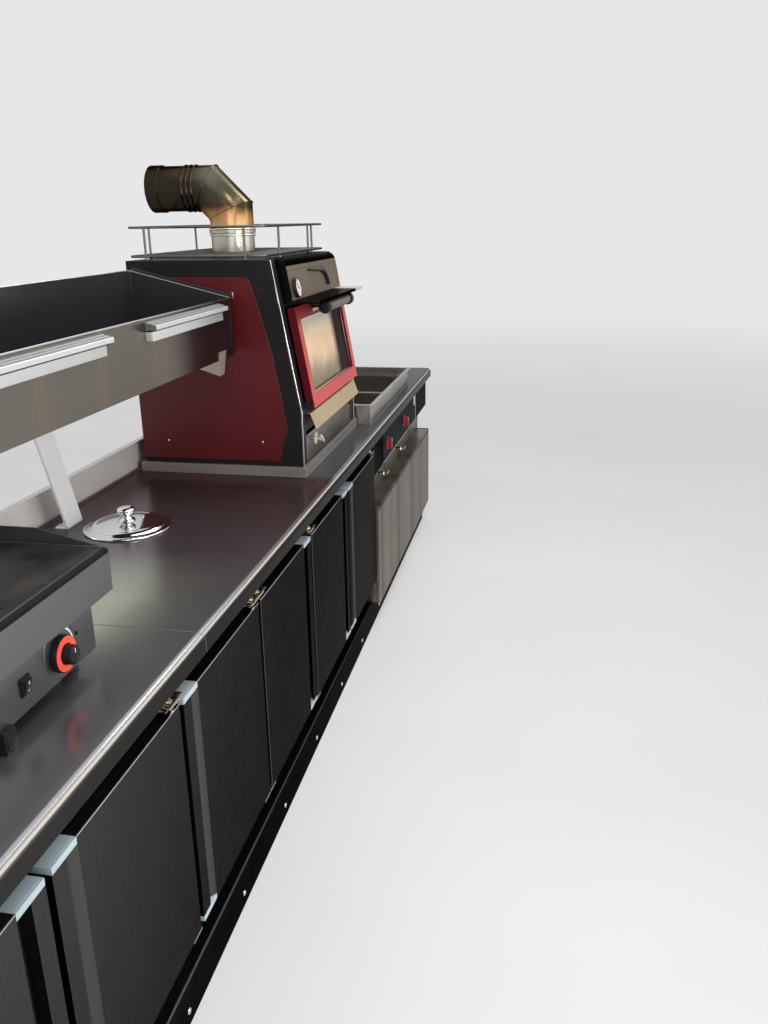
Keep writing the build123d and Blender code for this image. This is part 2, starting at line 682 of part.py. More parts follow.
# and its leaning part: setback from the oven's front, drop below the panel's top
skin_high = ((60, 382), (86, 229), (125, 80), (146, 12), (156, 0))
with BuildPart() as oven_side_panels:
    for start_x in (oven_x[0] - SKIN_THICKNESS - JOINT_GAP, oven_x[1] + JOINT_GAP):
        with BuildSketch(Plane.YZ.offset(start_x)):
            with BuildLine():
                Polyline(
                    *[(oven_front + setback, platform_top + height) for setback, height in skin_low],
                    *[(oven_front + setback, platform_top + skin_top - drop) for setback, drop in skin_high],
                    (oven_rear, platform_top + skin_top),
                    (oven_rear, platform_top + SKIN_BOTTOM),
                    close=True,
                )
            make_face()
        extrude(amount=SKIN_THICKNESS)
save(oven_side_panels.part, "oven_side_panels")

# Bright edge trims down the front corners of the oven
with BuildPart() as oven_trims:
    for start_x in (oven_x[0], oven_x[1] - TRIM_WIDTH):
        with BuildSketch(Plane.YZ.offset(start_x)):
            with BuildLine():
                Polyline(
                    (oven_front - JOINT_GAP, platform_top),
                    (oven_front - JOINT_GAP, platform_top + OVEN_KINK_HEIGHT),
                    (oven_face(OVEN_HEIGHT) - JOINT_GAP, platform_top + OVEN_HEIGHT),
                    (oven_face(OVEN_HEIGHT) - TRIM_PROUD, platform_top + OVEN_HEIGHT),
                    (oven_front - TRIM_PROUD, platform_top + OVEN_KINK_HEIGHT),
                    (oven_front - TRIM_PROUD, platform_top),
                    close=True,
                )
            make_face()
        extrude(amount=TRIM_WIDTH)
save(oven_trims.part, "oven_trims")

# Console: the moulded cap that stands proud over the door
with BuildPart() as oven_console:
    console_back = oven_face(console_bottom) + CONSOLE_DEPTH - JOINT_GAP
    with BuildSketch(Plane.YZ.offset(inner_x[0])):
        with BuildLine():
            Polyline(
                (oven_face(console_bottom) - CONSOLE_PROUD, platform_top + console_bottom),
                (oven_face(OVEN_HEIGHT) - CONSOLE_PROUD, platform_top + OVEN_HEIGHT),
                (console_back, platform_top + OVEN_HEIGHT),
                (console_back, platform_top + console_bottom),
                close=True,
            )
        make_face()
    extrude(amount=inner_width)
    brow = oven_console.edges().filter_by(Axis.X).group_by(Axis.Z)[-1].sort_by(Axis.Y)[0]
    fillet(brow, CONSOLE_RADIUS)
save(oven_console.part, "oven_console")


def front_plane(height, proud=0.0):
    """Leaning plane of the oven's front; height is measured above the platform."""
    base = Vector(oven_middle, oven_face(height), platform_top + height)
    outward = Vector(0, -cos(lean), sin(lean))
    return Plane(origin=base + outward * proud, x_dir=(1, 0, 0), z_dir=outward)


# Thermometer on the near side of the console
with BuildPart() as thermometer:
    dial_plane = front_plane(OVEN_HEIGHT - DIAL_DROP, CONSOLE_PROUD * cos(lean) + JOINT_GAP)
    with BuildSketch(dial_plane):
        with Locations((DIAL_INSET - inner_width / 2, 0)):
            Circle(DIAL_RADIUS)
    extrude(amount=DIAL_THICKNESS)
save(thermometer.part, "thermometer")

# Visor over the door
oven_door_width = OVEN_WIDTH - 2 * OVEN_DOOR_MARGIN
oven_door_height = visor_bottom - OVEN_DOOR_CLEARANCE - OVEN_DOOR_BOTTOM
with BuildPart() as visor:
    visor_root = oven_face(visor_bottom)
    visor_z = (platform_top + visor_bottom, platform_top + console_bottom - JOINT_GAP)
    block(
        (oven_middle - oven_door_width / 2, oven_middle + oven_door_width / 2),
        (visor_root - VISOR_REACH, visor_root - JOINT_GAP),
        visor_z,
    )
save(visor.part, "visor")

# Oven door: a red frame that drops forward about its lower edge
door_front_proud = OVEN_DOOR_STANDOFF + OVEN_DOOR_THICKNESS
window_width = oven_door_width - 2 * OVEN_DOOR_FRAME
window_height = oven_door_height - 2 * OVEN_DOOR_FRAME
with BuildPart() as oven_door:
    with BuildSketch(front_plane(OVEN_DOOR_BOTTOM, OVEN_DOOR_STANDOFF)):
        with Locations((0, oven_door_height / 2)):
            Rectangle(oven_door_width, oven_door_height)
            Rectangle(window_width, window_height, mode=Mode.SUBTRACT)
    extrude(amount=OVEN_DOOR_THICKNESS)
    pin_plane = front_plane(OVEN_DOOR_BOTTOM, door_front_proud - OVEN_HINGE_INSET)
    hinge_point = pin_plane.from_local_coords((0, OVEN_HINGE_INSET, 0))
    for end in (-1, 1):
        end_x = oven_middle + end * oven_door_width / 2
        with BuildSketch(Plane.YZ.offset(end_x)):
            with Locations((hinge_point.Y, hinge_point.Z)):
                Circle(OVEN_PIN_RADIUS + PIN_CLEARANCE)
        extrude(amount=-end * (OVEN_PIN_LENGTH + PIN_CLEARANCE), mode=Mode.SUBTRACT)
save(oven_door.part, "oven_door")

# Glass in the oven door
with BuildPart() as oven_glass:
    glass_proud = door_front_proud - GLASS_DROP - GLASS_THICKNESS
    with BuildSketch(front_plane(OVEN_DOOR_BOTTOM, glass_proud)):
        with Locations((0, oven_door_height / 2)):
            Rectangle(window_width - 2 * JOINT_GAP, window_height - 2 * JOINT_GAP)
    extrude(amount=GLASS_THICKNESS)
save(oven_glass.part, "oven_glass")

# Door handle: a bar on two posts with a round cap at each end
with BuildPart() as door_handle:
    grip_height = oven_door_height - HANDLE_DROP
    post_plane = front_plane(OVEN_DOOR_BOTTOM, door_front_proud + JOINT_GAP)
    with BuildSketch(post_plane):
        with Locations((-HANDLE_LENGTH / 3, grip_height), (HANDLE_LENGTH / 3, grip_height)):
            Rectangle(POST_SIZE, POST_SIZE)
    extrude(amount=HANDLE_STANDOFF)
    bar_plane = front_plane(OVEN_DOOR_BOTTOM, door_front_proud + JOINT_GAP + HANDLE_STANDOFF)
    bar_point = bar_plane.from_local_coords((0, grip_height, 0))
    with BuildSketch(Plane.YZ.offset(oven_middle - HANDLE_LENGTH / 2)):
        with Locations((bar_point.Y, bar_point.Z)):
            Circle(HANDLE_RADIUS)
    extrude(amount=HANDLE_LENGTH)
    for end in (-1, 1):
        with BuildSketch(Plane.YZ.offset(oven_middle + end * HANDLE_LENGTH / 2)):
            with Locations((bar_point.Y, bar_point.Z)):
                Circle(HANDLE_CAP_RADIUS)
        extrude(amount=-end * HANDLE_CAP_LENGTH)
save(door_handle.part, "door_handle")

# Hinge lugs for the oven door, one at each lower corner
with BuildPart() as oven_hinges:
    for end in (-1, 1):
        inner_face = oven_middle + end * (oven_door_width / 2 + PIN_CLEARANCE)
        lug_x = sorted((inner_face, inner_face + end * OVEN_LUG))
        lug_z = (hinge_point.Z - OVEN_LUG, hinge_point.Z + OVEN_LUG)
        block(lug_x, (hinge_point.Y - OVEN_LUG, oven_front - JOINT_GAP), lug_z)
        with BuildSketch(Plane.YZ.offset(inner_face)):
            with Locations((hinge_point.Y, hinge_point.Z)):
                Circle(OVEN_PIN_RADIUS)
        extrude(amount=-end * OVEN_PIN_LENGTH)
save(oven_hinges.part, "oven_hinges")

# Drip plate below the oven door: a short ledge that turns down into a steep apron
with BuildPart() as drip_plate:
    drip_z = platform_top + DRIP_HEIGHT
    drip_y = oven_front - JOINT_GAP
    with BuildSketch(Plane.YZ.offset(oven_middle - oven_door_width / 2)):
        with BuildLine():
            Polyline(
                (drip_y, drip_z),
                (drip_y - DRIP_LEDGE, drip_z - DRIP_LEDGE_FALL),
                (drip_y - DRIP_REACH, drip_z - DRIP_FALL),
                (drip_y - DRIP_REACH + DRIP_THICKNESS, drip_z - DRIP_FALL),
                (drip_y - DRIP_LEDGE + DRIP_THICKNESS, drip_z - DRIP_LEDGE_FALL - DRIP_THICKNESS),
                (drip_y, drip_z - DRIP_LEDGE_FALL - DRIP_THICKNESS),
                close=True,
            )
        make_face()
    extrude(amount=oven_door_width)
save(drip_plate.part, "drip_plate")

# Ash drawer under the hearth
with BuildPart() as ash_drawer:
    drawer_x = (inner_x[0] + DRAWER_GAP, inner_x[1] - DRAWER_GAP)
    drawer_bottom = platform_top + FLOOR_PAN + PIN_CLEARANCE
    drawer_z = (drawer_bottom, drawer_bottom + DRAWER_HEIGHT)
    block(drawer_x, (oven_front, oven_front + DRAWER_DEPTH), drawer_z)
    offset(amount=-DRAWER_WALL, openings=ash_drawer.faces().sort_by(Axis.Z)[-1])
save(ash_drawer.part, "ash_drawer")

# Cooking grates in the oven: wires on two cross bars
with BuildPart() as oven_grates:
    grate_x = (inner_x[0] + GRATE_GAP, inner_x[1] - GRATE_GAP)
    for grate_height in GRATE_HEIGHTS:
        grate_z = platform_top + grate_height
        grate_front = oven_face(grate_height) + GRATE_SETBACK
        grate_rear = back_front - GRATE_GAP - GRATE_WIRE
        for bar_y in (grate_front, grate_rear):
            with BuildSketch(Plane.YZ.offset(grate_x[0])):
                with Locations((bar_y, grate_z)):
                    RegularPolygon(GRATE_WIRE, WIRE_SIDES)
            extrude(amount=grate_x[1] - grate_x[0])
        wire_count = int((grate_x[1] - grate_x[0]) // GRATE_PITCH)
        row_start = oven_middle - (wire_count - 1) / 2 * GRATE_PITCH
        wire_row = [(row_start + k * GRATE_PITCH, grate_z) for k in range(wire_count)]
        with BuildSketch(Plane.XZ.offset(-grate_rear)):
            with Locations(*wire_row):
                RegularPolygon(GRATE_ROD, WIRE_SIDES)
        extrude(amount=grate_rear - grate_front)
save(oven_grates.part, "oven_grates")

# Flue: one tube with a rimmed collar, a mitred elbow and a pipe socket at the wall
oven_top = platform_top + OVEN_HEIGHT
flue_y = front_y + FLUE_SETBACK
rim_top = oven_top + COLLAR_HEIGHT
elbow_run = ELBOW_SEGMENT * cos(radians(ELBOW_TURN))
elbow_rise = ELBOW_SEGMENT * sin(radians(ELBOW_TURN))
mitre_z = rim_top + ELBOW_END
run_z = mitre_z + elbow_rise
socket_y = back_y - SOCKET_LENGTH
flue_start = Plane(origin=(oven_middle, flue_y, oven_top + JOINT_GAP))
rim_plane = Plane(origin=(oven_middle, flue_y, rim_top - RIM_HEIGHT))
socket_plane = Plane(origin=(oven_middle, socket_y, run_z), x_dir=(1, 0, 0), z_dir=(0, 1, 0))


def flue_ring(plane, outer=FLUE_RADIUS, inner=FLUE_RADIUS - FLUE_WALL):
    """Section of the flue's sheet on a plane whose origin is on its axis."""
    with BuildSketch(plane) as ring:
        Circle(outer)
        Circle(inner, mode=Mode.SUBTRACT)
    return ring.sketch


with BuildPart() as flue:
    with BuildLine(Plane.YZ.offset(oven_middle)) as flue_path:
        Polyline(
            (flue_y, oven_top + JOINT_GAP),
            (flue_y, mitre_z),
            (flue_y + elbow_run, run_z),
            (socket_y, run_z),
        )
    add(flue_ring(flue_start))
    sweep(path=flue_path.wires()[0], transition=Transition.RIGHT)
    add(flue_ring(rim_plane, FLUE_RADIUS + RIM_PROUD))
    extrude(amount=RIM_HEIGHT)
    socket_bore = FLUE_RADIUS + SOCKET_PLAY
    socket_outer = socket_bore + FLUE_WALL
    add(flue_ring(socket_plane.offset(-FLUE_WALL), socket_outer))
    extrude(amount=FLUE_WALL, dir=(0, 1, 0))
    add(flue_ring(socket_plane, socket_outer, socket_bore))
    extrude(amount=SOCKET_LENGTH, dir=(0, 1, 0))
save(flue.part, "flue")

# Wire gallery rack on the oven's roof: a shelf of wires, a frame round the flue, posts and a top rail
rack_x = (oven_x[0] + RACK_INSET, oven_x[1] - RACK_INSET)
rack_y = (oven_rear - RACK_BACK_INSET - RACK_DEPTH, oven_rear - RACK_BACK_INSET)
rack_middle = ((rack_x[0] + rack_x[1]) / 2, (rack_y[0] + rack_y[1]) / 2)
shelf_z = oven_top + RACK_SHELF
rail_z = oven_top + RACK_RAIL
flue_frame = FLUE_RADIUS + RACK_FLUE_GAP
frame_x = (oven_middle - flue_frame, oven_middle + flue_frame)
frame_y = (flue_y - flue_frame, flue_y + flue_frame)


def wire_loop(x_span, y_span, corner, height):
    """A closed wire with cut corners, added to the part in hand."""
    with BuildLine(Plane.XY.offset(height)) as loop:
        Polyline(
            ((x_span[0] + x_span[1]) / 2, y_span[0]),
            (x_span[1] - corner, y_span[0]),
            (x_span[1], y_span[0] + corner),
            (x_span[1], y_span[1] - corner),
            (x_span[1] - corner, y_span[1]),
            (x_span[0] + corner, y_span[1]),
            (x_span[0], y_span[1] - corner),
            (x_span[0], y_span[0] + corner),
            (x_span[0] + corner, y_span[0]),
            close=True,
        )
    path = loop.wires()[0]
    with BuildSketch(Plane(origin=path @ 0, z_dir=path % 0)) as section:
        RegularPolygon(RACK_FRAME_RADIUS, WIRE_SIDES)
    sweep(section.sketch, path=path, transition=Transition.RIGHT)


with BuildPart() as wire_rack:
    wire_count = int((rack_x[1] - rack_x[0] - 2 * RACK_CORNER) // RACK_PITCH) + 1
    wire_xs = [rack_middle[0] + (k - (wire_count - 1) / 2) * RACK_PITCH for k in range(wire_count)]
    with BuildSketch(Plane.XZ.offset(-rack_y[1])):
        with Locations(*[(wire_x, shelf_z) for wire_x in wire_xs]):
            RegularPolygon(RACK_WIRE_RADIUS, WIRE_SIDES)
    extrude(amount=RACK_DEPTH)
    block(frame_x, frame_y, (shelf_z - RACK_FRAME_RADIUS, shelf_z + RACK_FRAME_RADIUS))
    hole_x = (frame_x[0] + 2 * RACK_FRAME_RADIUS, frame_x[1] - 2 * RACK_FRAME_RADIUS)
    hole_y = (frame_y[0] + 2 * RACK_FRAME_RADIUS, frame_y[1] - 2 * RACK_FRAME_RADIUS)
    with BuildSketch(Plane.XY.offset(shelf_z - RACK_SHELF / 2)):
        with Locations((oven_middle, flue_y)):
            Rectangle(hole_x[1] - hole_x[0], hole_y[1] - hole_y[0])
    extrude(amount=RACK_SHELF, mode=Mode.SUBTRACT)
    for loop_z in (shelf_z, rail_z):
        wire_loop(rack_x, rack_y, RACK_CORNER, loop_z)
    post_ys = (rack_y[0] + POST_INSET, rack_y[1] - POST_INSET)
    side_posts = [(post_x, post_y) for post_x in rack_x for post_y in post_ys]
    face_posts = [(rack_middle[0] + k * POST_SPREAD, post_y) for k in (-1, 1) for post_y in rack_y]
    with BuildSketch(Plane.XY.offset(oven_top + JOINT_GAP)):
        with Locations(*side_posts, *face_posts):
            RegularPolygon(RACK_FRAME_RADIUS, WIRE_SIDES)
    extrude(amount=RACK_RAIL)
save(wire_rack.part, "wire_rack")

# Griddle: a wide top box on a narrower control box, on four feet
griddle_x = (near_x + GRIDDLE_OFFSET, near_x + GRIDDLE_OFFSET + GRIDDLE_LENGTH)
griddle_y = (front_y + GRIDDLE_SETBACK, front_y + GRIDDLE_SETBACK + GRIDDLE_DEPTH)
griddle_middle = ((griddle_x[0] + griddle_x[1]) / 2, (griddle_y[0] + griddle_y[1]) / 2)
base_bottom = WORKTOP_TOP + GRIDDLE_FOOT
base_top = base_bottom + GRIDDLE_BASE_HEIGHT
griddle_top = base_top + GRIDDLE_TOP_HEIGHT
base_x = (griddle_x[0] + GRIDDLE_BASE_INSET, griddle_x[1] - GRIDDLE_BASE_INSET)
base_y = (griddle_y[0] + GRIDDLE_BASE_SETBACK, griddle_y[1] - GRIDDLE_BASE_SETBACK)
with BuildPart() as griddle_body:
    block(base_x, base_y, (base_bottom, base_top))
    block(griddle_x, griddle_y, (base_top, griddle_top))
    fillet(griddle_body.edges().filter_by(Axis.Z).group_by(Axis.Y)[0], GRIDDLE_SHEET)
save(griddle_body.part, "griddle_body")

# Griddle plate
plate_inset = GRIDDLE_SHEET + PLATE_MARGIN
plate_x = (griddle_x[0] + plate_inset, griddle_x[1] - plate_inset)
plate_y = (griddle_y[0] + PLATE_MARGIN, griddle_y[1] - plate_inset)
with BuildPart() as griddle_plate:
    block(plate_x, plate_y, (griddle_top + JOINT_GAP, griddle_top + PLATE_THICKNESS))
save(griddle_plate.part, "griddle_plate")

# Splash guard: a folded back with two sides that slope down to the front
guard_z = griddle_top + JOINT_GAP
guard_top = griddle_top + GUARD_RISE
with BuildPart() as griddle_guard:
    for side_x in (griddle_x[0], griddle_x[1] - GRIDDLE_SHEET):
        with BuildSketch(Plane.YZ.offset(side_x)):
            with BuildLine():
                Polyline(
                    (griddle_y[0], guard_z),
                    (griddle_y[0], griddle_top + GUARD_FRONT_RISE),
                    (griddle_y[0] + GUARD_SLOPE, guard_top),
                    (griddle_y[1], guard_top),
                    (griddle_y[1], guard_z),
                    close=True,
                )
            make_face()
        extrude(amount=GRIDDLE_SHEET)
    block(griddle_x, (griddle_y[1] - GRIDDLE_SHEET, griddle_y[1]), (guard_z, guard_top))
save(griddle_guard.part, "griddle_guard")

# Griddle control knob and rocker switch
controls_y = base_y[0] - JOINT_GAP
with BuildPart() as griddle_controls:
    knob_z = (base_bottom + base_top) / 2
    knob_x = base_x[1] - CONTROL_INSET
    with BuildSketch(Plane.XZ.offset(-controls_y)):
        with Locations((knob_x, knob_z)):
            Circle(CONTROL_RADIUS)
        with Locations((knob_x - SWITCH_OFFSET, knob_z)):
            Rectangle(SWITCH_WIDTH, SWITCH_HEIGHT)
    extrude(amount=BEZEL_THICKNESS)
    with BuildSketch(Plane.XZ.offset(-controls_y + BEZEL_THICKNESS)):
        with Locations((knob_x, knob_z)):
            Circle(CONTROL_RADIUS - CONTROL_STEP)
    extrude(amount=CONTROL_LENGTH)
save(griddle_controls.part, "griddle_controls")

# Griddle feet
with BuildPart() as griddle_feet:
    foot_span = (base_x[1] - base_x[0] - 2 * FOOT_INSET, base_y[1] - base_y[0] - 2 * FOOT_INSET)
    with BuildSketch(Plane.XY.offset(WORKTOP_TOP + JOINT_GAP)):
        with Locations(griddle_middle):
            with GridLocations(*foot_span, 2, 2):
                Rectangle(FOOT_SIZE, FOOT_SIZE)
    extrude(amount=GRIDDLE_FOOT - 2 * JOINT_GAP)
save(griddle_feet.part, "griddle_feet")

# Trough: level bottom, low front wall, tall back wall and sloped end walls
trough_x = (near_x + TROUGH_OFFSET, oven_x[0] - TROUGH_OVEN_GAP)
trough_length = trough_x[1] - trough_x[0]
trough_bottom = WORKTOP_TOP + TROUGH_LIFT
trough_y = (front_y + TROUGH_SETBACK, front_y + TROUGH_SETBACK + TROUGH_DEPTH)
trough_front_top = trough_bottom + TROUGH_FRONT_RISE
trough_back_top = trough_bottom + TROUGH_BACK_RISE


def trough_section(start_x, sheet, open_top):
    """Side profile of the trough, taken in by a sheet thickness on three sides."""
    slope = (trough_back_top - trough_front_top) / TROUGH_DEPTH
    low_y = trough_y[0] + sheet
    high_y = trough_y[1] - sheet
    with BuildSketch(Plane.YZ.offset(start_x)) as profile:
        with BuildLine():
            Polyline(
                (low_y, trough_bottom + sheet),
                (low_y, trough_front_top + slope * sheet + open_top),
                (high_y, trough_back_top - slope * sheet + open_top),
                (high_y, trough_bottom + sheet),
                close=True,
            )
        make_face()
    return profile.sketch


with BuildPart() as trough:
    add(trough_section(trough_x[0], 0, 0))
    extrude(amount=trough_length, dir=(1, 0, 0))
    add(trough_section(trough_x[0] + TROUGH_SHEET, TROUGH_SHEET, TROUGH_SHEET))
    extrude(amount=trough_length - 2 * TROUGH_SHEET, dir=(1, 0, 0), mode=Mode.SUBTRACT)
    # columns: end of the trough, way its rim flange turns out
    for flange_x, flange_way in ((trough_x[0], -1), (trough_x[1], 1)):
        with BuildSketch(Plane.YZ.offset(flange_x)):
            with BuildLine():
                Polyline(
                    (trough_y[0], trough_front_top),
                    (trough_y[1], trough_back_top),
                    (trough_y[1], trough_back_top - TROUGH_SHEET),
                    (trough_y[0], trough_front_top - TROUGH_SHEET),
                    close=True,
                )
            make_face()
        extrude(amount=flange_way * TROUGH_FLANGE)
save(trough.part, "trough")

# Two flat legs that lean in under the trough, each with its foot plate behind it
leg_y = (trough_y[1] - LEG_BACK_INSET - LEG_THICKNESS, trough_y[1] - LEG_BACK_INSET)
leg_base = WORKTOP_TOP + JOINT_GAP + FOOT_PLATE
leg_top = trough_bottom - JOINT_GAP
leg_feet = (trough_x[0] + LEG_NEAR_INSET, trough_x[1] - LEG_FAR_INSET)
with BuildPart() as trough_legs:
    for foot_x, lean_way in zip(leg_feet, (1, -1)):
        top_x = foot_x + lean_way * LEG_LEAN
        half = LEG_WIDTH / 2
        with BuildSketch(Plane.XZ.offset(-leg_y[1])):
            with BuildLine():
                Polyline(
                    (foot_x - half, leg_base),
                    (foot_x + half, leg_base),
                    (top_x + half, leg_top),
                    (top_x - half, leg_top),
                    close=True,
                )
            make_face()
        extrude(amount=LEG_THICKNESS)
        plate_y = (leg_y[0], leg_y[0] + FOOT_PLATE_DEPTH)
        block((foot_x - half, foot_x + half), plate_y, (WORKTOP_TOP + JOINT_GAP, leg_base))
save(trough_legs.part, "trough_legs")

# Ticket rails on the trough's front: a gripping lip over a lower plate that stops short of its far end
far_rail_start = trough_length - TICKET_FAR_INSET - TICKET_FAR_LENGTH
near_rail_length = far_rail_start - TICKET_GAP - TICKET_NEAR_INSET
rail_back = trough_y[0] - JOINT_GAP
rail_z = trough_front_top - TICKET_DROP
with BuildPart() as ticket_rails:
    # columns: distance of the near end from the trough's near end, length
    for rail_start, rail_length in (
        (TICKET_NEAR_INSET, near_rail_length),
        (far_rail_start, TICKET_FAR_LENGTH),
    ):
        with BuildSketch(Plane.YZ.offset(trough_x[0] + rail_start)):
            with BuildLine():
                Polyline(
                    (rail_back, rail_z),
                    (rail_back - TICKET_WIDTH, rail_z - TICKET_FALL),
                    (rail_back - TICKET_WIDTH, rail_z - TICKET_FALL - TICKET_LIP),
                    (rail_back, rail_z - TICKET_FALL - TICKET_LIP),
                    close=True,
                )
            make_face()
        extrude(amount=rail_length)
        plate_x = (trough_x[0] + rail_start, trough_x[0] + rail_start + rail_length - TICKET_PLATE_SHORT)
        plate_y = (rail_back - TICKET_WIDTH + TICKET_LIP, rail_back)
        block(plate_x, plate_y, (rail_z - TICKET_HEIGHT, rail_z - TICKET_FALL - TICKET_LIP))
save(ticket_rails.part, "ticket_rails")

# Pan lid lying on the worktop: a pressed plate with a flat flange and a turned knob
lid_place = (oven_x[0] - LID_OVEN_GAP, front_y + LID_SETBACK)
lid_plane = Plane(origin=(*lid_place, WORKTOP_TOP + PIN_CLEARANCE), x_dir=(1, 0, 0), z_dir=(0, -1, 0))
lid_crown = LID_RADIUS - LID_FLANGE
knob_foot = LID_HEIGHT + 2 * LID_SHEET
knob_top = knob_foot + LID_KNOB_HEIGHT
with BuildPart() as pan_lid:
    with BuildSketch(lid_plane):
        with BuildLine():
            Polyline(
                (0, knob_top),
                (LID_KNOB_RADIUS, knob_top),
                (LID_KNOB_RADIUS, knob_top - LID_KNOB_HEIGHT / 2),
                (LID_KNOB_RADIUS / 2, knob_top - LID_KNOB_HEIGHT / 2),
                (LID_KNOB_RADIUS / 2, knob_foot),
                (LID_KNOB_RADIUS, knob_foot),
                (LID_KNOB_RADIUS, LID_HEIGHT),
                (lid_crown, LID_HEIGHT),
                (lid_crown, LID_SHEET),
                (LID_RADIUS, LID_SHEET),
                (LID_RADIUS, 0),
                (lid_crown - LID_SHEET, 0),
                (lid_crown - LID_SHEET, LID_HEIGHT - LID_SHEET),
                (0, LID_HEIGHT - LID_SHEET),
                close=True,
            )
        make_face()
    revolve(axis=Axis((*lid_place, 0), (0, 0, 1)))
save(pan_lid.part, "pan_lid")
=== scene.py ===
import functools
import json
from math import cos, pi, radians, sin, tan

import bmesh
import bpy
from mathutils import Matrix, Vector


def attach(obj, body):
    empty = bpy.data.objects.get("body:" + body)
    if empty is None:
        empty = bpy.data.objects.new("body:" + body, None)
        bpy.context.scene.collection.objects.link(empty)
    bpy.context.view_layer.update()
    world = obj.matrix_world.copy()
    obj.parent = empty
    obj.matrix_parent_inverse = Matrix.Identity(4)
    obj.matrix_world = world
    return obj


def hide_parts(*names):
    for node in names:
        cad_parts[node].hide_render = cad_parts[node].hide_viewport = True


# Looks of the food truck kitchen line, in the row frame. Camera, lamps and materials are in metres;
# the pieces are in millimetres until Shape.piece turns them into metres.
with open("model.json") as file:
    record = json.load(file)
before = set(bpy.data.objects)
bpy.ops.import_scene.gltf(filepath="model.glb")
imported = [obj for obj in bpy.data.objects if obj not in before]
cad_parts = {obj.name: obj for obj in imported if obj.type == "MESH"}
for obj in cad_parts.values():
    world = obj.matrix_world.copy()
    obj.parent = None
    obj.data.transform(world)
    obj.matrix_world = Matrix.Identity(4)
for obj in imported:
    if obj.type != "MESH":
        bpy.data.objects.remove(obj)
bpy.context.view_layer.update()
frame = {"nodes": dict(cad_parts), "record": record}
nodes = frame["nodes"]


# Shader nodes
def add_node(tree, kind, inputs=None, **settings):
    """A shader node with its settings; an input is a value, another node or one of its sockets."""
    node = tree.nodes.new("ShaderNode" + kind)
    for key, value in settings.items():
        setattr(node, key, value)
    for key, value in (inputs or {}).items():
        if isinstance(value, bpy.types.Node):
            value = value.outputs[0]
        if isinstance(value, bpy.types.NodeSocket):
            tree.links.new(value, node.inputs[key])
        else:
            node.inputs[key].default_value = value
    return node


def maths(tree, operation, first, second):
    return add_node(tree, "Math", {0: first, 1: second}, operation=operation)


def product(tree, first, second):
    return maths(tree, "MULTIPLY", first, second)


def noise(tree, scale, detail=4, rough=0.55, stretch=(1, 1, 1)):
    """A cloudy 0 to 1 pattern in row-frame metres, stretched."""
    place = add_node(tree, "TexCoord").outputs["Object"]
    mapped = add_node(tree, "Mapping", {"Vector": place, "Scale": stretch})
    inputs = {"Vector": mapped, "Scale": scale, "Detail": detail, "Roughness": rough}
    return add_node(tree, "TexNoise", inputs).outputs["Fac"]


def spread(tree, value, low, high, from_low=0.3, from_high=0.7):
    """A 0 to 1 pattern stretched to a range of numbers."""
    inputs = {"Value": value, "From Min": from_low, "From Max": from_high, "To Min": low, "To Max": high}
    return add_node(tree, "MapRange", inputs)


def ramp(tree, value, stops):
    """Colours along a pattern; stops are (place, colour)."""
    node = add_node(tree, "ValToRGB", {"Fac": value})
    while len(node.color_ramp.elements) < len(stops):
        node.color_ramp.elements.new(0.5)
    for element, (place, colour) in zip(node.color_ramp.elements, stops):
        element.position = place
        element.color = (*colour, 1)
    return node


def blend(tree, factor, low, high):
    """One colour where the factor is 0 and another where it is 1."""
    inputs = {"Factor": factor}
    for key, value in ((6, low), (7, high)):
        inputs[key] = (*value, 1) if isinstance(value, tuple) else value
    return add_node(tree, "Mix", inputs, data_type="RGBA").outputs[2]


def bump(tree, height, strength, distance, under=None):
    inputs = {"Height": height, "Strength": strength, "Distance": distance}
    if under is not None:
        inputs["Normal"] = under
    return add_node(tree, "Bump", inputs)


def axis_share(tree, coordinate, axis, low, high):
    place = add_node(tree, "TexCoord")
    parts = add_node(tree, "SeparateXYZ", {0: place.outputs[coordinate]})
    return spread(tree, parts.outputs[axis], 0, 1, low, high)


def facing(tree, axis, low, high):
    """0 to 1 as a face turns towards an axis of the row frame."""
    return axis_share(tree, "Normal", axis, low, high)


def along(tree, axis, low, high):
    """0 to 1 along an axis of the row frame, in metres."""
    return axis_share(tree, "Object", axis, low, high)


def seen_directly(tree):
    """1 for what the camera sees, also in a mirror or through glass, and 0 for other light."""
    rays = add_node(tree, "LightPath").outputs
    seen = maths(tree, "MAXIMUM", rays["Is Camera Ray"], rays["Is Glossy Ray"])
    return maths(tree, "MAXIMUM", seen, rays["Is Transmission Ray"])


# Camera, surroundings and lamps
PALE_SKY = (0.8, 0.8, 0.81, 1)
SOFT_FILL = (0.46, 0.46, 0.47, 1)
CAMERA_PLACE = Vector((-2.665, -1.0425, 1.707))
CAMERA_HEADING = 11.10657
CAMERA_PITCH = -18.63832
CAMERA_ROLL = -0.825


def new_object(name, data):
    made = bpy.data.objects.new(name, data)
    bpy.context.scene.collection.objects.link(made)
    return made


def turned(degrees, axis):
    return Matrix.Rotation(radians(degrees), 3, axis)


def make_camera():
    """The photograph's viewpoint, at the near end of the aisle."""
    data = bpy.data.cameras.new("camera")
    data.lens = 30.59
    data.sensor_width = 36
    data.clip_start = 0.05
    data.clip_end = 200
    camera = new_object("camera", data)
    view = turned(CAMERA_HEADING - 90, "Z") @ turned(90 + CAMERA_PITCH, "X") @ turned(CAMERA_ROLL, "Z")
    camera.matrix_world = Matrix.LocRotScale(CAMERA_PLACE, view, None)
    bpy.context.scene.camera = camera


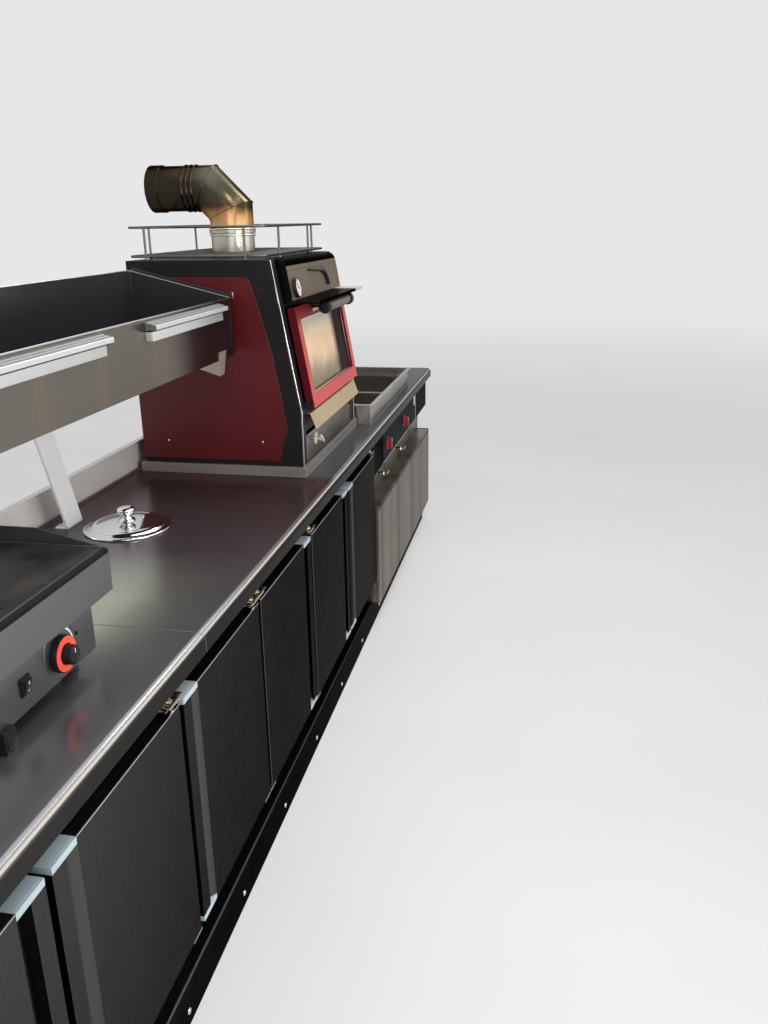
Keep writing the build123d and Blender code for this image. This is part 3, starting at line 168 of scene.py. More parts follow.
def make_world():
    """Pale for the camera and in reflections, and a soft even fill for the rest."""
    world = bpy.data.worlds.new("studio")
    bpy.context.scene.world = world
    world.use_nodes = True
    tree = world.node_tree
    tree.nodes.clear()
    fill = add_node(tree, "Background", {"Color": SOFT_FILL, "Strength": 1})
    pale = add_node(tree, "Background", {"Color": PALE_SKY, "Strength": 1})
    both = add_node(tree, "MixShader", {0: seen_directly(tree), 1: fill, 2: pale})
    add_node(tree, "OutputWorld", {0: both})


def add_lamp(name, place, target, size, power, colour):
    data = bpy.data.lights.new(name, "AREA")
    data.shape = "RECTANGLE"
    data.size, data.size_y = size
    data.energy = power
    data.color = colour
    lamp = new_object(name, data)
    lamp.location = place
    lamp.rotation_euler = (Vector(target) - Vector(place)).to_track_quat("-Z", "Y").to_euler()
    lamp.visible_camera = False


def make_lamps():
    # columns: name, place, point aimed at, size, power in watts, colour
    for row in (
        ("overhead", (0.2, -0.4, 3.3), (0.2, -0.35, 0), (5.5, 2.4), 34, (1, 0.99, 0.97)),
        ("strip_a", (-1.1, -0.75, 3.1), (-1.1, -0.2, 0.9), (0.7, 0.22), 9, (1, 0.98, 0.95)),
        ("strip_b", (1.3, -0.75, 3.1), (1.3, -0.2, 0.9), (0.7, 0.22), 9, (1, 0.98, 0.95)),
        ("ceiling_strip", (-0.1, -1.05, 2.9), (-0.1, -0.3, 0.9), (4.6, 0.07), 11, (1, 0.97, 0.92)),
        ("aisle", (-0.6, -3.6, 1.9), (0, 0, 0.8), (5.8, 2.6), 42, (1, 0.97, 0.93)),
        ("near_end", (-4.6, -0.9, 2.3), (-1, 0, 1), (2.6, 2.6), 22, (0.96, 0.98, 1)),
        ("low_fill", (-1.5, -1.9, 1.25), (-0.7, 0.3, 1.05), (0.9, 0.5), 15, (1, 1, 0.99)),
    ):
        add_lamp(*row)


make_camera()
make_world()
make_lamps()
bpy.context.scene.view_settings.view_transform = "Standard"


# Kinds of finish
MATERIALS = {}
BLACK = (0, 0, 0)
GRAIN = {"x": (2.5, 420, 420), "y": (420, 2.5, 420), "z": (420, 420, 2.5)}


def new_material(name):
    material = bpy.data.materials.new(name)
    MATERIALS[name] = material
    material.use_nodes = True
    material.node_tree.nodes.clear()
    return material.node_tree


def finish_surface(tree, colour, rough, normal, **settings):
    """The shader that ends a material; a setting is a number, a colour or a node."""
    inputs = {"Base Color": colour, "Roughness": rough, "Normal": normal}
    inputs.update({key.replace("_", " "): value for key, value in settings.items()})
    shader = add_node(tree, "BsdfPrincipled", inputs)
    add_node(tree, "OutputMaterial", {0: shader})


def tinted(colour, factor):
    return tuple(channel * factor for channel in colour)


def shades(tree, value, colour, *stops):
    """One colour, darker and brighter along a pattern; stops are (place, factor)."""
    return ramp(tree, value, [(place, tinted(colour, factor)) for place, factor in stops])


def steel(name, colour, rough, grain, depth, mottle, patch, edge=0.6, metal=1, zones=()):
    """Brushed or rolled stainless: fine grain along an axis, soft cloudy patches and hand smears.

    Edge is the tint of its mirror at a glancing view. A zone is a colour, a function that gives its share
    from the tree, and how metallic it is there.
    """
    tree = new_material(name)
    lines = noise(tree, 1, 3, 0.7, GRAIN[grain])
    cloud = noise(tree, patch, 3, 0.5)
    smear = noise(tree, 1.7, 5, 0.62, (5, 5, 9))
    dull, bright = 1 - mottle, 1 + mottle
    tone = shades(tree, cloud, colour, (0.3, dull), (0.52, 1), (0.72, bright))
    for zone_colour, share, zone_metal in zones:
        amount = share(tree)
        shade = shades(tree, cloud, zone_colour, (0.3, dull), (0.72, bright))
        tone = blend(tree, amount, tone, shade)
        metal = add_node(tree, "Mix", {"Factor": amount, 2: metal, 3: zone_metal})
    tone = blend(tree, spread(tree, lines, 0, 0.1), tone, BLACK)
    haze = spread(tree, smear, rough - 0.015, rough + 0.02, 0.36, 0.66)
    haze = maths(tree, "ADD", haze, spread(tree, lines, -0.015, 0.02))
    normal = bump(tree, lines, depth, 0.0004, bump(tree, cloud, 0.05, 0.004))
    mirror = edge if isinstance(edge, tuple) else (edge, edge, edge)
    finish_surface(tree, tone, haze, normal, Metallic=metal, Specular_Tint=(*mirror, 1))


def paint(name, colour, rough, peel, gloss=0.5, ior=1.5, worn=None, zones=()):
    """Stove enamel or powder paint: orange peel, faint fading, dusty patches."""
    tree = new_material(name)
    cloud = noise(tree, 3)
    fine = noise(tree, 420, 2, 0.5)
    dust = noise(tree, 26, 6, 0.68)
    tone = shades(tree, cloud, colour, (0.3, 0.9), (0.55, 1), (0.75, 1.1))
    for zone_colour, share in zones:
        tone = blend(tree, share(tree), tone, zone_colour)
    if worn:
        tone = blend(tree, spread(tree, dust, 0, 0.55, 0.6, 0.8), tone, worn)
    haze = spread(tree, dust, rough - 0.03, rough + 0.06, 0.35, 0.7)
    finish_surface(tree, tone, haze, bump(tree, fine, peel, 0.0003), Specular_IOR_Level=gloss, IOR=ior)


def plastic(name, colour, rough, gloss=0.5, ior=1.5, grit=900, depth=0.15):
    """Moulded plastic with a fine spark-eroded grain."""
    tree = new_material(name)
    fine = noise(tree, grit, 2, 0.5)
    cloud = noise(tree, 14, 3, 0.5)
    tone = shades(tree, cloud, colour, (0.3, 0.9), (0.7, 1.08))
    haze = spread(tree, cloud, rough - 0.04, rough + 0.06)
    finish_surface(tree, tone, haze, bump(tree, fine, depth, 0.0002), Specular_IOR_Level=gloss, IOR=ior)


def cast_iron(name, colour, rough):
    """Seasoned iron: pitted, oily in patches, with a brown tinge where it was hottest."""
    tree = new_material(name)
    pits = noise(tree, 260, 5, 0.7)
    oil = noise(tree, 9, 5, 0.6)
    tone = ramp(tree, oil, ((0.3, colour), (0.55, tinted(colour, 1.5)), (0.75, (0.075, 0.052, 0.036))))
    haze = spread(tree, oil, rough - 0.18, rough + 0.1)
    finish_surface(tree, tone, haze, bump(tree, pits, 0.35, 0.0006), Metallic=0.35)


def heat_steel(name):
    """Flue steel tinted by heat: bright at its foot, then copper, then olive and brown."""
    tree = new_material(name)
    cloud = noise(tree, 8)
    rise = maths(tree, "ADD", along(tree, "Z", 1.66, 1.9), spread(tree, cloud, -0.05, 0.05))
    tone = ramp(tree, rise, (
        (0, (0.5, 0.47, 0.42)),
        (0.06, (0.54, 0.46, 0.33)),
        (0.12, (0.62, 0.38, 0.18)),
        (0.26, (0.46, 0.24, 0.1)),
        (0.36, (0.075, 0.052, 0.03)),
        (0.6, (0.06, 0.057, 0.04)),
        (0.84, (0.105, 0.1, 0.074)),
        (1, (0.12, 0.115, 0.09)),
    ))
    tone = blend(tree, along(tree, "Y", 0.13, 0.2), tone, (0.036, 0.028, 0.022))
    lines = noise(tree, 4, 4, 0.6, (90, 5, 90))
    haze = spread(tree, cloud, 0.17, 0.3)
    finish_surface(tree, tone, haze, bump(tree, lines, 0.06, 0.0006), Metallic=1,
                   Specular_Tint=(0.35, 0.32, 0.28, 1))


def door_glass(name):
    """Oven glass: a warm part mirror in bands by height, with a painted dark reflection towards the far side,
    and darker along its foot.
    """
    tree = new_material(name)
    soot = noise(tree, 7)
    rise = maths(tree, "ADD", along(tree, "Z", 1.15, 1.398), spread(tree, soot, -0.1, 0.1))
    warm = ramp(tree, rise, (
        (0.04, (0.4, 0.3, 0.17)),
        (0.16, (0.26, 0.2, 0.14)),
        (0.3, (0.34, 0.28, 0.2)),
        (0.46, (0.74, 0.56, 0.38)),
        (0.62, (0.94, 0.64, 0.44)),
        (0.78, (0.88, 0.72, 0.52)),
        (0.98, (0.6, 0.55, 0.46)),
    ))
    dark = ramp(tree, soot, ((0.3, (0.034, 0.016, 0.016)), (0.7, (0.02, 0.011, 0.011))))
    # painted dark reflection towards the glass's far side
    tone = blend(tree, along(tree, "X", 0.47, 0.53), warm, dark)
    tone = blend(tree, along(tree, "Z", 1.178, 1.164), tone, dark)
    haze = spread(tree, soot, 0.06, 0.14)
    finish_surface(tree, tone, haze, bump(tree, soot, 0.03, 0.01), Transmission_Weight=0.05, IOR=1.03,
                   Specular_IOR_Level=0.5)


# Shares of a finish that differs over one sheet
def where(*ranges):
    """A zone's share: the product of ranges (facing or along, axis, where it is 0, where it is 1)."""
    def share(tree):
        parts = [pattern(tree, *limits) for pattern, *limits in ranges]
        return functools.reduce(functools.partial(product, tree), parts)
    return share


# the worktop: a painted dark reflection on its front face, a painted highlight along its nose, a painted red
# reflection of the oven beside it, a painted reflection of window light by the griddle, painted shade towards
# the fryer, and painted light on its upstand
painted_dark_apron = where((facing, "Y", -0.55, -0.9), (along, "Y", -0.33, -0.345))
painted_nose_highlight = where((facing, "Y", -0.58, -0.66), (facing, "Y", -0.84, -0.76), (along, "Y", -0.33, -0.34))
oven_side = where((along, "X", -1, -0.15), (along, "X", 0.02, -0.02))
painted_window_reflection = where((along, "X", -1.45, -1.15), (along, "X", -0.7, -1),
                     (along, "Y", -0.34, -0.12), (along, "Y", 0.16, 0))
painted_far_shade = where((along, "X", 0.2, 1.6))
upstand = where((along, "Z", 0.903, 0.912))
# the trough's front wall and the duller ends of its hem
front_face = where((facing, "Y", -0.4, -0.75), (along, "Y", -0.03, -0.05))
hem_ends = where((along, "X", -0.06, -0.054))
# the oven door's top rail in a painted shadow of the visor, the console, the visor's far end with a painted
# bright reflection, painted shade on the ticket rails' top and on the fryer collar's far end
painted_visor_shadow = where((along, "Z", 1.385, 1.402))
console_face = where((facing, "Y", -0.955, -0.975))
painted_visor_reflection = where((along, "X", 0.575, 0.6))
painted_rail_top_shade = where((facing, "Z", 0.6, 0.85))
painted_collar_far_shade = where((along, "X", 1.62, 1.86))


# a painted red reflection of the oven on the trough's front wall, towards its far end
def painted_red_reflection(tree):
    return product(tree, front_face(tree), along(tree, "X", -0.5, -0.36))


def painted_shade_flanks(tree):
    """Both side faces of the oven door, where its red is darkened as painted shade."""
    return maths(tree, "MAXIMUM", facing(tree, "X", 0.5, 0.8), facing(tree, "X", -0.5, -0.8))


def warm_bands(tree):
    """Soft upright bands on the trough's front wall."""
    bands = noise(tree, 1, 2, 0.5, (4.2, 0, 0))
    return product(tree, front_face(tree), spread(tree, bands, 0, 0.8, 0.5, 0.62))


def cabinet_bands(tree):
    """Soft upright brown bands on the fryer's cabinet."""
    return spread(tree, noise(tree, 1, 3, 0.55, (7, 0, 0)), 0, 0.9, 0.46, 0.62)


def floor_surface():
    """Pale and glowing a little where it is seen, plain for the light that it throws back."""
    tree = new_material("floor")
    cloud = noise(tree, 0.8, 4, 0.5)
    tone = ramp(tree, cloud, ((0.3, (0.7, 0.695, 0.685)), (0.7, (0.74, 0.735, 0.725))))
    plain = add_node(tree, "BsdfDiffuse", {"Color": tone})
    pale = blend(tree, 0.5, tone, BLACK)
    thin = add_node(tree, "BsdfDiffuse", {"Color": pale})
    glow = add_node(tree, "Emission", {"Color": pale, "Strength": 1.15})
    near = add_node(tree, "AddShader", {0: thin, 1: glow})
    place = add_node(tree, "TexCoord").outputs["Object"]
    away = add_node(tree, "VectorMath", {0: place}, operation="LENGTH").outputs["Value"]
    sky = add_node(tree, "Emission", {"Color": PALE_SKY, "Strength": 1})
    far = spread(tree, away, 0, 1, 3, 14)
    shown = add_node(tree, "MixShader", {0: far, 1: near, 2: sky})
    both = add_node(tree, "MixShader", {0: seen_directly(tree), 1: plain, 2: shown})
    add_node(tree, "OutputMaterial", {0: both})


def make_steels():
    """Arguments: name, colour, roughness, grain along, grain depth, mottle, patch size, glancing edge."""
    # the worktop's zones are painted light and shade: reflections of the oven and of window light, shade
    # towards the fryer, a dark reflection on the front face, a highlight along the nose and light on the
    # upstand
    steel("worktop_steel", (0.275, 0.272, 0.293), 0.22, "x", 0.005, 0.05, 0.9, 0.42, 0.82, (
        ((0.19, 0.115, 0.115), oven_side, 0.82),
        ((0.6, 0.6, 0.5), painted_window_reflection, 0.82),
        ((0.13, 0.125, 0.128), painted_far_shade, 0.82),
        ((0.05, 0.048, 0.046), painted_dark_apron, 0.9),
        ((0.56, 0.53, 0.46), painted_nose_highlight, 0.35),
        ((0.88, 0.86, 0.83), upstand, 0.35),
    ))
    # the trough's dark base colour is painted shade, meant for its inside; its front wall is lighter, with a
    # painted red reflection of the oven near its far end
    steel("trough_steel", (0.062, 0.064, 0.07), 0.22, "z", 0.02, 0.06, 2.6, 0.3, 0.55, (
        ((0.25, 0.225, 0.203), front_face, 0.9),
        ((0.3, 0.25, 0.195), warm_bands, 0.9),
        ((0.062, 0.028, 0.031), painted_red_reflection, 0.7),
    ))
    for row in (
        ("door_steel", (0.106, 0.103, 0.101), 0.28, "z", 0.03, 0.04, 1, 0.25),
        ("carcass_steel", (0.062, 0.061, 0.06), 0.36, "x", 0.06, 0.06, 1.4, 0.2),
        ("kerb_steel", (0.075, 0.076, 0.08), 0.28, "x", 0.1, 0.08, 1.6, 0.2),
        ("bright_steel", (0.74, 0.73, 0.7), 0.2, "z", 0.015, 0.04, 3),
        # the trough legs' near-white steel is painted sunlight
        ("leg_steel", (0.98, 0.98, 0.975), 0.34, "z", 0.02, 0.015, 3, 1, 0.15),
        ("pale_steel", (0.8, 0.76, 0.68), 0.24, "x", 0.04, 0.04, 9, 0.8, 0.35),
        ("stay_steel", (0.33, 0.285, 0.24), 0.34, "z", 0.04, 0.06, 6, 0.5, 0.4),
        ("fryer_steel", (0.5, 0.47, 0.43), 0.22, "z", 0.015, 0.08, 3.2, 0.4),
        ("platform_steel", (0.29, 0.27, 0.24), 0.3, "y", 0.01, 0.12, 3, 0.4, 0.4),
        ("bare_plate", (0.36, 0.3, 0.24), 0.34, "x", 0.05, 0.06, 9, (0.4, 0.36, 0.3)),
        ("golden_steel", (0.72, 0.6, 0.42), 0.36, "x", 0.01, 0.06, 5, (0.7, 0.6, 0.5)),
        ("griddle_steel", (0.235, 0.236, 0.24), 0.34, "x", 0.06, 0.05, 2, 0.4),
        ("chrome", (0.8, 0.8, 0.79), 0.09, "x", 0.02, 0.02, 6),
        ("rack_wire", (0.17, 0.165, 0.155), 0.22, "x", 0.04, 0.06, 20, 0.3),
        ("zinc_gold", (0.74, 0.62, 0.38), 0.16, "x", 0.1, 0.12, 30),
    ):
        steel(*row)
    steel("hem_steel", (0.7, 0.69, 0.67), 0.22, "x", 0.04, 0.04, 3, 0.5,
          zones=(((0.2, 0.2, 0.19), hem_ends, 1),))
    steel("cabinet_steel", (0.5, 0.455, 0.41), 0.3, "z", 0.05, 0.06, 3.2, 0.4,
          zones=(((0.3, 0.255, 0.215), cabinet_bands, 1),))
    # the fryer collar's far end is darkened as painted shade
    steel("collar_steel", (0.74, 0.71, 0.66), 0.24, "z", 0.015, 0.1, 3.2, 0.5,
          zones=(((0.36, 0.34, 0.34), painted_collar_far_shade, 0.9),))
    steel("console_steel", (0.012, 0.011, 0.012), 0.34, "x", 0.05, 0.06, 5, (0.2, 0.18, 0.16),
          zones=(((0.38, 0.325, 0.27), console_face, 0.9),))
    # the visor's near-black base and its bright far end are painted dark and bright reflections
    steel("visor_steel", (0.016, 0.015, 0.016), 0.3, "x", 0.04, 0.06, 5, 0.1,
          zones=(((0.86, 0.78, 0.68), painted_visor_reflection, 0.5),))
    # the ticket rails' up-facing faces are darkened as painted shade
    steel("rail_aluminium", (0.78, 0.79, 0.79), 0.38, "x", 0.04, 0.03, 2, 0.6, 0.7,
          (((0.3, 0.3, 0.29), painted_rail_top_shade, 0.6),))


def make_other_finishes():
    for row in (
        ("cap_plastic", (0.46, 0.56, 0.61), 0.5, 0.25),
        ("black_panel", (0.018, 0.022, 0.026), 0.34, 0.5, 1.02, 1400, 0.05),
        ("red_plastic", (0.3, 0.016, 0.02), 0.22),
        ("black_plastic", (0.014, 0.014, 0.016), 0.34, 0.5, 1.25),
        ("signal_orange", (0.86, 0.09, 0.05), 0.45, 0.2),
        ("white_mark", (0.78, 0.78, 0.76), 0.45),
        ("grey_rubber", (0.12, 0.122, 0.098), 0.55, 0.2),
        ("sealant", (0.13, 0.13, 0.135), 0.5),
        ("handle_grip", (0.1, 0.074, 0.058), 0.42, 0.5, 1.5, 260, 0.3),
        ("lamp_amber", (0.55, 0.18, 0.02), 0.12),
        ("lamp_green", (0.02, 0.22, 0.07), 0.12),
    ):
        plastic(*row)
    paint("guard_enamel", (0.05, 0.054, 0.053), 0.36, 0.08, 0.5, 1.2)
    paint("oven_black", (0.016, 0.014, 0.015), 0.44, 0.2, 0.4, 1.2, (0.045, 0.038, 0.036))
    paint("oven_red", (0.092, 0.0072, 0.01), 0.34, 0.12, 0.35)
    # the oven door's red: a painted shadow of the visor on its top rail, and its side faces darkened as
    # painted shade
    paint("door_red", (0.52, 0.085, 0.08), 0.34, 0.12, 0.5, 1.12,
          zones=(((0.24, 0.02, 0.028), painted_visor_shadow), ((0.085, 0.008, 0.012), painted_shade_flanks)))
    paint("dial", (0.7, 0.66, 0.56), 0.35, 0.05)
    heat_steel("flue_steel")
    door_glass("oven_glass")
    cast_iron("grate_iron", (0.04, 0.036, 0.033), 0.48)
    cast_iron("plate_iron", (0.02, 0.02, 0.021), 0.4)
    floor_surface()


make_steels()
make_other_finishes()


# Floor, and the CAD nodes' finishes and softened edges
def make_floor():
    mesh = bpy.data.meshes.new("floor")
    half = 40
    level = -0.0005
    corners = [(x, y, level) for x, y in ((-half, -half), (half, -half), (half, half), (-half, half))]
    mesh.from_pydata(corners, [], [(0, 1, 2, 3)])
    mesh.materials.append(MATERIALS["floor"])
    floor = new_object("floor", mesh)


def soften(node, width=0.0012):
    """Small rounded edges on a CAD node, so that its folds catch the light."""
    node.data.polygons.foreach_set("use_smooth", [True] * len(node.data.polygons))
    weld = node.modifiers.new("weld", "WELD")
    weld.merge_threshold = 0.00002
    edges = node.modifiers.new("edges", "BEVEL")
    edges.width = width
    edges.segments = 2
    edges.limit_method = "ANGLE"
    edges.angle_limit = radians(38)
    node.modifiers.new("shading", "WEIGHTED_NORMAL")


make_floor()
slot_of = {row["node"]: row["material_slot"] for row in frame["record"]["subparts"]}
own_finish = {"oven_console": "console_steel", "drip_plate": "golden_steel", "trough_legs": "leg_steel",
              "visor": "visor_steel", "fryer_cabinet": "cabinet_steel", "griddle_guard": "guard_enamel",
              "oven_platform": "platform_steel", "fryer_collar": "collar_steel"}
for node_name, node in nodes.items():
    node.data.materials.clear()
    node.data.materials.append(MATERIALS[own_finish.get(node_name, slot_of[node_name])])
    soften(node)


# Mesh tools
FRONT = (0, -1, 0)
TOP = (0, 0, 1)
MILLIMETRE = 0.001


def circle(count):
    """Angles of points that are evenly spaced round a circle."""
    return [2 * pi * k / count for k in range(count)]


class Shape:
    """Geometry in the row frame, in millimetres, that becomes one piece."""

    def __init__(self):
        self.mesh = bmesh.new()

    def row(self, places):
        return [self.mesh.verts.new(place) for place in places]

    def bridge(self, low, high):
        """Faces between two closed rows of points; a row of one point makes a fan."""
        count = max(len(low), len(high))
        for k in range(count):
            after = (k + 1) % count
            corners = [low[k % len(low)], low[after % len(low)], high[after % len(high)], high[k % len(high)]]
            corners = list(dict.fromkeys(corners))
            if len(corners) > 2:
                self.mesh.faces.new(corners)

    def skin(self, places, capped=True):
        """A skin over rows of places, closed at both ends where it is capped."""
        rows = [self.row(row) for row in places]
        for low, high in zip(rows, rows[1:]):
            self.bridge(low, high)
        if capped:
            self.mesh.faces.new(rows[0])
            self.mesh.faces.new(rows[-1])
        return rows

    def lathe(self, profile, origin, axis, sides=32):
        """A turned body: profile pairs are (distance along the axis, radius)."""
        turn = Vector(axis).to_track_quat("Z", "Y")
        rows = []
        for rise, radius in profile:
            angles = circle(sides) if radius > 0 else [0]
            places = [Vector((radius * cos(a), radius * sin(a), rise)) for a in angles]
            rows.append([Vector(origin) + turn @ place for place in places])
        self.skin(rows, False)
        return self

    def block(self, low, high, edge=0.8, turn=None, at=(0, 0, 0)):
        """A block with rounded edges; its corners are counted from a spot that it turns about."""
        made = bmesh.ops.create_cube(self.mesh, size=1)["verts"]
        low, high = Vector(low), Vector(high)
        for vert in made:
            place = (low + high) / 2 + Vector([c * s for c, s in zip(vert.co, high - low)])
            vert.co = Vector(at) + (turn @ place if turn else place)
        edges = list({e for vert in made for e in vert.link_edges})
        bmesh.ops.bevel(self.mesh, geom=edges, offset=edge, segments=2, affect="EDGES", profile=0.6)
        return self

    def tube(self, line, radius, sides=10, closed=False):
        """A wire along a line of points."""
        line = [Vector(place) for place in line]
        count = len(line)
        rows = []
        side = None
        for k, place in enumerate(line):
            before = line[k - 1] if closed or k else place
            after = line[(k + 1) % count] if closed or k < count - 1 else place
            ahead = (after - before).normalized()
            if side is None:
                side = ahead.orthogonal().normalized()
            side = (side - ahead * side.dot(ahead)).normalized()
            other = ahead.cross(side)
            rows.append([place + radius * (side * cos(a) + other * sin(a)) for a in circle(sides)])
        rows = self.skin(rows, not closed)
        if closed:
            shift = min(range(sides), key=lambda j: (rows[-1][0].co - rows[0][j].co).length)
            self.bridge(rows[-1], rows[0][shift:] + rows[0][:shift])
        return self

    def prism(self, outline, start, step):
        """A closed outline of points, drawn out along a vector."""
        start = Vector(start)
        ends = (start, start + Vector(step))
        self.skin([[Vector(place) + end for place in outline] for end in ends])
        return self

    def piece(self, name, finish, body="counter", angle=35, stands_for=(), slot=None):
        """Makes the piece, with its finish, and lets it ride on a body; slot is not used."""
        bmesh.ops.recalc_face_normals(self.mesh, faces=self.mesh.faces)
        bmesh.ops.triangulate(self.mesh, faces=[f for f in self.mesh.faces if len(f.verts) > 4])
        mesh = bpy.data.meshes.new(name)
        self.mesh.to_mesh(mesh)
        self.mesh.free()
        mesh.transform(Matrix.Scale(MILLIMETRE, 4))
        mesh.polygons.foreach_set("use_smooth", [True] * len(mesh.polygons))
        mesh.set_sharp_from_angle(angle=radians(angle))
        mesh.materials.append(MATERIALS[finish])
        obj = new_object(name, mesh)
        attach(obj, body)
        if stands_for:
            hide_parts(*stands_for)


def rounded(corners, radius, steps=6, closed=True):
    """A line through corner points with each corner turned into an arc."""
    corners = [Vector(corner) for corner in corners]
    count = len(corners)
    line = []
    for k, corner in enumerate(corners):
        if not closed and k in (0, count - 1):
            line.append(corner)
            continue
        back = (corners[k - 1] - corner).normalized()
        ahead = (corners[(k + 1) % count] - corner).normalized()
        half = back.angle(ahead) / 2
        reach = radius / tan(half)
        centre = corner + (back + ahead).normalized() * (radius / sin(half))
        first = corner + back * reach - centre
        last = corner + ahead * reach - centre
        sweep = first.angle(last)
        for j in range(steps + 1):
            share = j / steps
            place = first * sin((1 - share) * sweep) + last * sin(share * sweep)
            line.append(centre + place / sin(sweep))
    return line


def rectangle(x0, x1, y0, y1, z):
    return [(x0, y0, z), (x1, y0, z), (x1, y1, z), (x0, y1, z)]


def pan_head(radius, height):
    """Profile of a screw's or a rivet's head."""
    return [(0, 0), (0, radius * 0.98), (height * 0.25, radius), (height * 0.7, radius * 0.86),
            (height * 0.95, radius * 0.5), (height, 0)]


# Places taken from the frame
WORKTOP_FRONT = -362.5
WORKTOP_TOP = 900
FIRST_DOOR = -2215
DOOR_PITCH = 493
DOOR_WIDTH = 475
GRIP_WIDTH = 74.5
HINGE_Y = -322.5
HANDLE_SIDES = (1, -1, -1, 1, 1, -1)
LEAN = radians(9.6)
PLATFORM = 932
OVEN_TOP = 1590.3
OVEN_FRONT = -247.5
OVEN_MIDDLE = 382
KINK = 184
DOOR_FOOT = 181
CONSOLE_PROUD = 33 * cos(LEAN)
FLUE_RADIUS = 75
FLUE_Y = 81.5
ACROSS = Vector((1, 0, 0))
UP = Vector((0, sin(LEAN), cos(LEAN)))
OUT = Vector((0, -cos(LEAN), sin(LEAN)))
ON_FACE = Matrix.Rotation(-LEAN, 3, "X")


def oven_point(x, height, proud=CONSOLE_PROUD):
    """A point on the leaning front of the oven; height is above the platform."""
    face_y = OVEN_FRONT + max(0, height - KINK) * tan(LEAN)
    return Vector((x, face_y, PLATFORM + height)) + OUT * proud


def door_point(x, up, proud):
    """A point on the oven door: up along the leaf from its foot, proud of the oven's front."""
    return Vector((x, OVEN_FRONT, PLATFORM + DOOR_FOOT)) + UP * up + OUT * proud


def leaning_strips(spans, half_depth, edge, point):
    """Flat strips on the leaning front; a span is x from and to, then height from and to."""
    strips = Shape()
    for x0, x1, low, high in spans:
        size = Vector(((x1 - x0) / 2, half_depth, (high - low) / 2))
        strips.block(-size, size, edge, ON_FACE, point((x0 + x1) / 2, (low + high) / 2))
    return strips


# Counter
def make_kerb_screws():
    screws = Shape()
    for k in range(12):
        screws.lathe(pan_head(7.5, 3.5), (-2023.6 + 364.7 * k, -314.4, 38), FRONT, 20)
    screws.piece("kerb_screws", "bright_steel")


def make_worktop_seals():
    """The joint over the worktop's nose, top and upstand, and the beads round what stands on it."""
    nose = 20
    arc = [(WORKTOP_FRONT + nose - nose * sin(a), WORKTOP_TOP - nose + nose * cos(a))
           for a in [pi / 2 * k / 8 for k in range(9)]]
    outer = [(342, 994), (342, 910.5), (332, 900.5)] + arc + [(WORKTOP_FRONT, 856)]
    inner = [(y + 2, z - 2) for y, z in outer]
    grown = [(y - 0.3, z + 0.3) for y, z in outer]
    joint = Shape().prism([(0, y, z) for y, z in grown + inner[::-1]], (-1141.2, 0, 0), (1.4, 0, 0))
    joint.piece("worktop_joint", "sealant", slot="worktop_steel")

    beads = Shape()
    for spans in ((-5, 769, -259.5, 321.5), (785, 1715, -316.5, 223.5)):
        beads.tube(rounded(rectangle(*spans, WORKTOP_TOP + 0.8), 4, 3), 2.2, 6, True)
    beads.piece("sealant_beads", "sealant", slot="worktop_steel")


def make_hinges():
    """A hammered strap with a nut over each door's hinge, and the screws of its brackets."""
    ridge = ((-11, 0), (-7, 1.2), (0, 1.8), (7, 1.2), (13, 0))
    half, thick, steps = 42, 1.2, 26
    straps, nuts = Shape(), Shape()
    for i, side in enumerate(HANDLE_SIDES):
        hinge_x = FIRST_DOOR + DOOR_PITCH * (i + 0.5) - side * (DOOR_WIDTH / 2 - 15)
        rows = []
        for k in range(steps + 1):
            x = hinge_x - half + 2 * half * k / steps
            lift = 799.5 + 1.1 * sin(k * 1.9) + 0.7 * sin(k * 3.3 + i)
            upper = [(x, HINGE_Y + y + 0.6 * sin(k * 2.3 + j), lift + rise)
                     for j, (y, rise) in enumerate(ridge)]
            rows.append(upper + [(x, HINGE_Y + y, lift + rise - thick) for y, rise in reversed(ridge)])
        straps.skin(rows)
        nuts.lathe([(0, 0), (0, 7.2), (4.5, 7.2), (5.2, 6), (5.2, 3.6), (8.5, 3.4), (9.2, 0)],
                   (hinge_x, HINGE_Y, 800.8), TOP, 6)
        for face_y, z in ((-289.9, 812), (-289.7, 198)):
            for dx in (-14, 14):
                nuts.lathe(pan_head(4.2, 2.2), (hinge_x + dx, face_y, z), FRONT, 14)
    straps.piece("hinge_straps", "zinc_gold", angle=60, slot="bright_steel")
    nuts.piece("hinge_nuts", "bright_steel")


def make_doors():
    """Each cupboard door's painted highlight, a bright strip along the top edge of its leaf, and the two end
    caps of its grip groove.
    """
    for i, side in enumerate(HANDLE_SIDES):
        body = f"cupboard_door_{i + 1}"
        left = FIRST_DOOR + DOOR_PITCH * i + (DOOR_PITCH - DOOR_WIDTH) / 2
        right = left + DOOR_WIDTH
        leaf = (left, right - GRIP_WIDTH) if side > 0 else (left + GRIP_WIDTH, right)
        # a bright strip along the leaf's top edge, as a painted highlight
        highlight_strip = Shape().block((leaf[0], -337.75, 785.6), (leaf[1], -334.9, 788.35), 0.6)
        highlight_strip.piece(f"door_{i + 1}_top_edge_highlight", "bright_steel", body)
        start, end = (right - 73.9, right - 0.2) if side > 0 else (left + 0.2, left + 73.9)
        caps = Shape()
        for z in (774.1, 222):
            caps.block((start, -338, z), (end, -295.3, z + 14.2), 1.6)
            caps.block((start + 4.2, -333.8, z + 0.2), (end - 4.2, -299.5, z + 14.8), 0.8)
        caps.piece(f"door_{i + 1}_end_caps", "cap_plastic", body, stands_for=(f"door_{i + 1}_caps",))


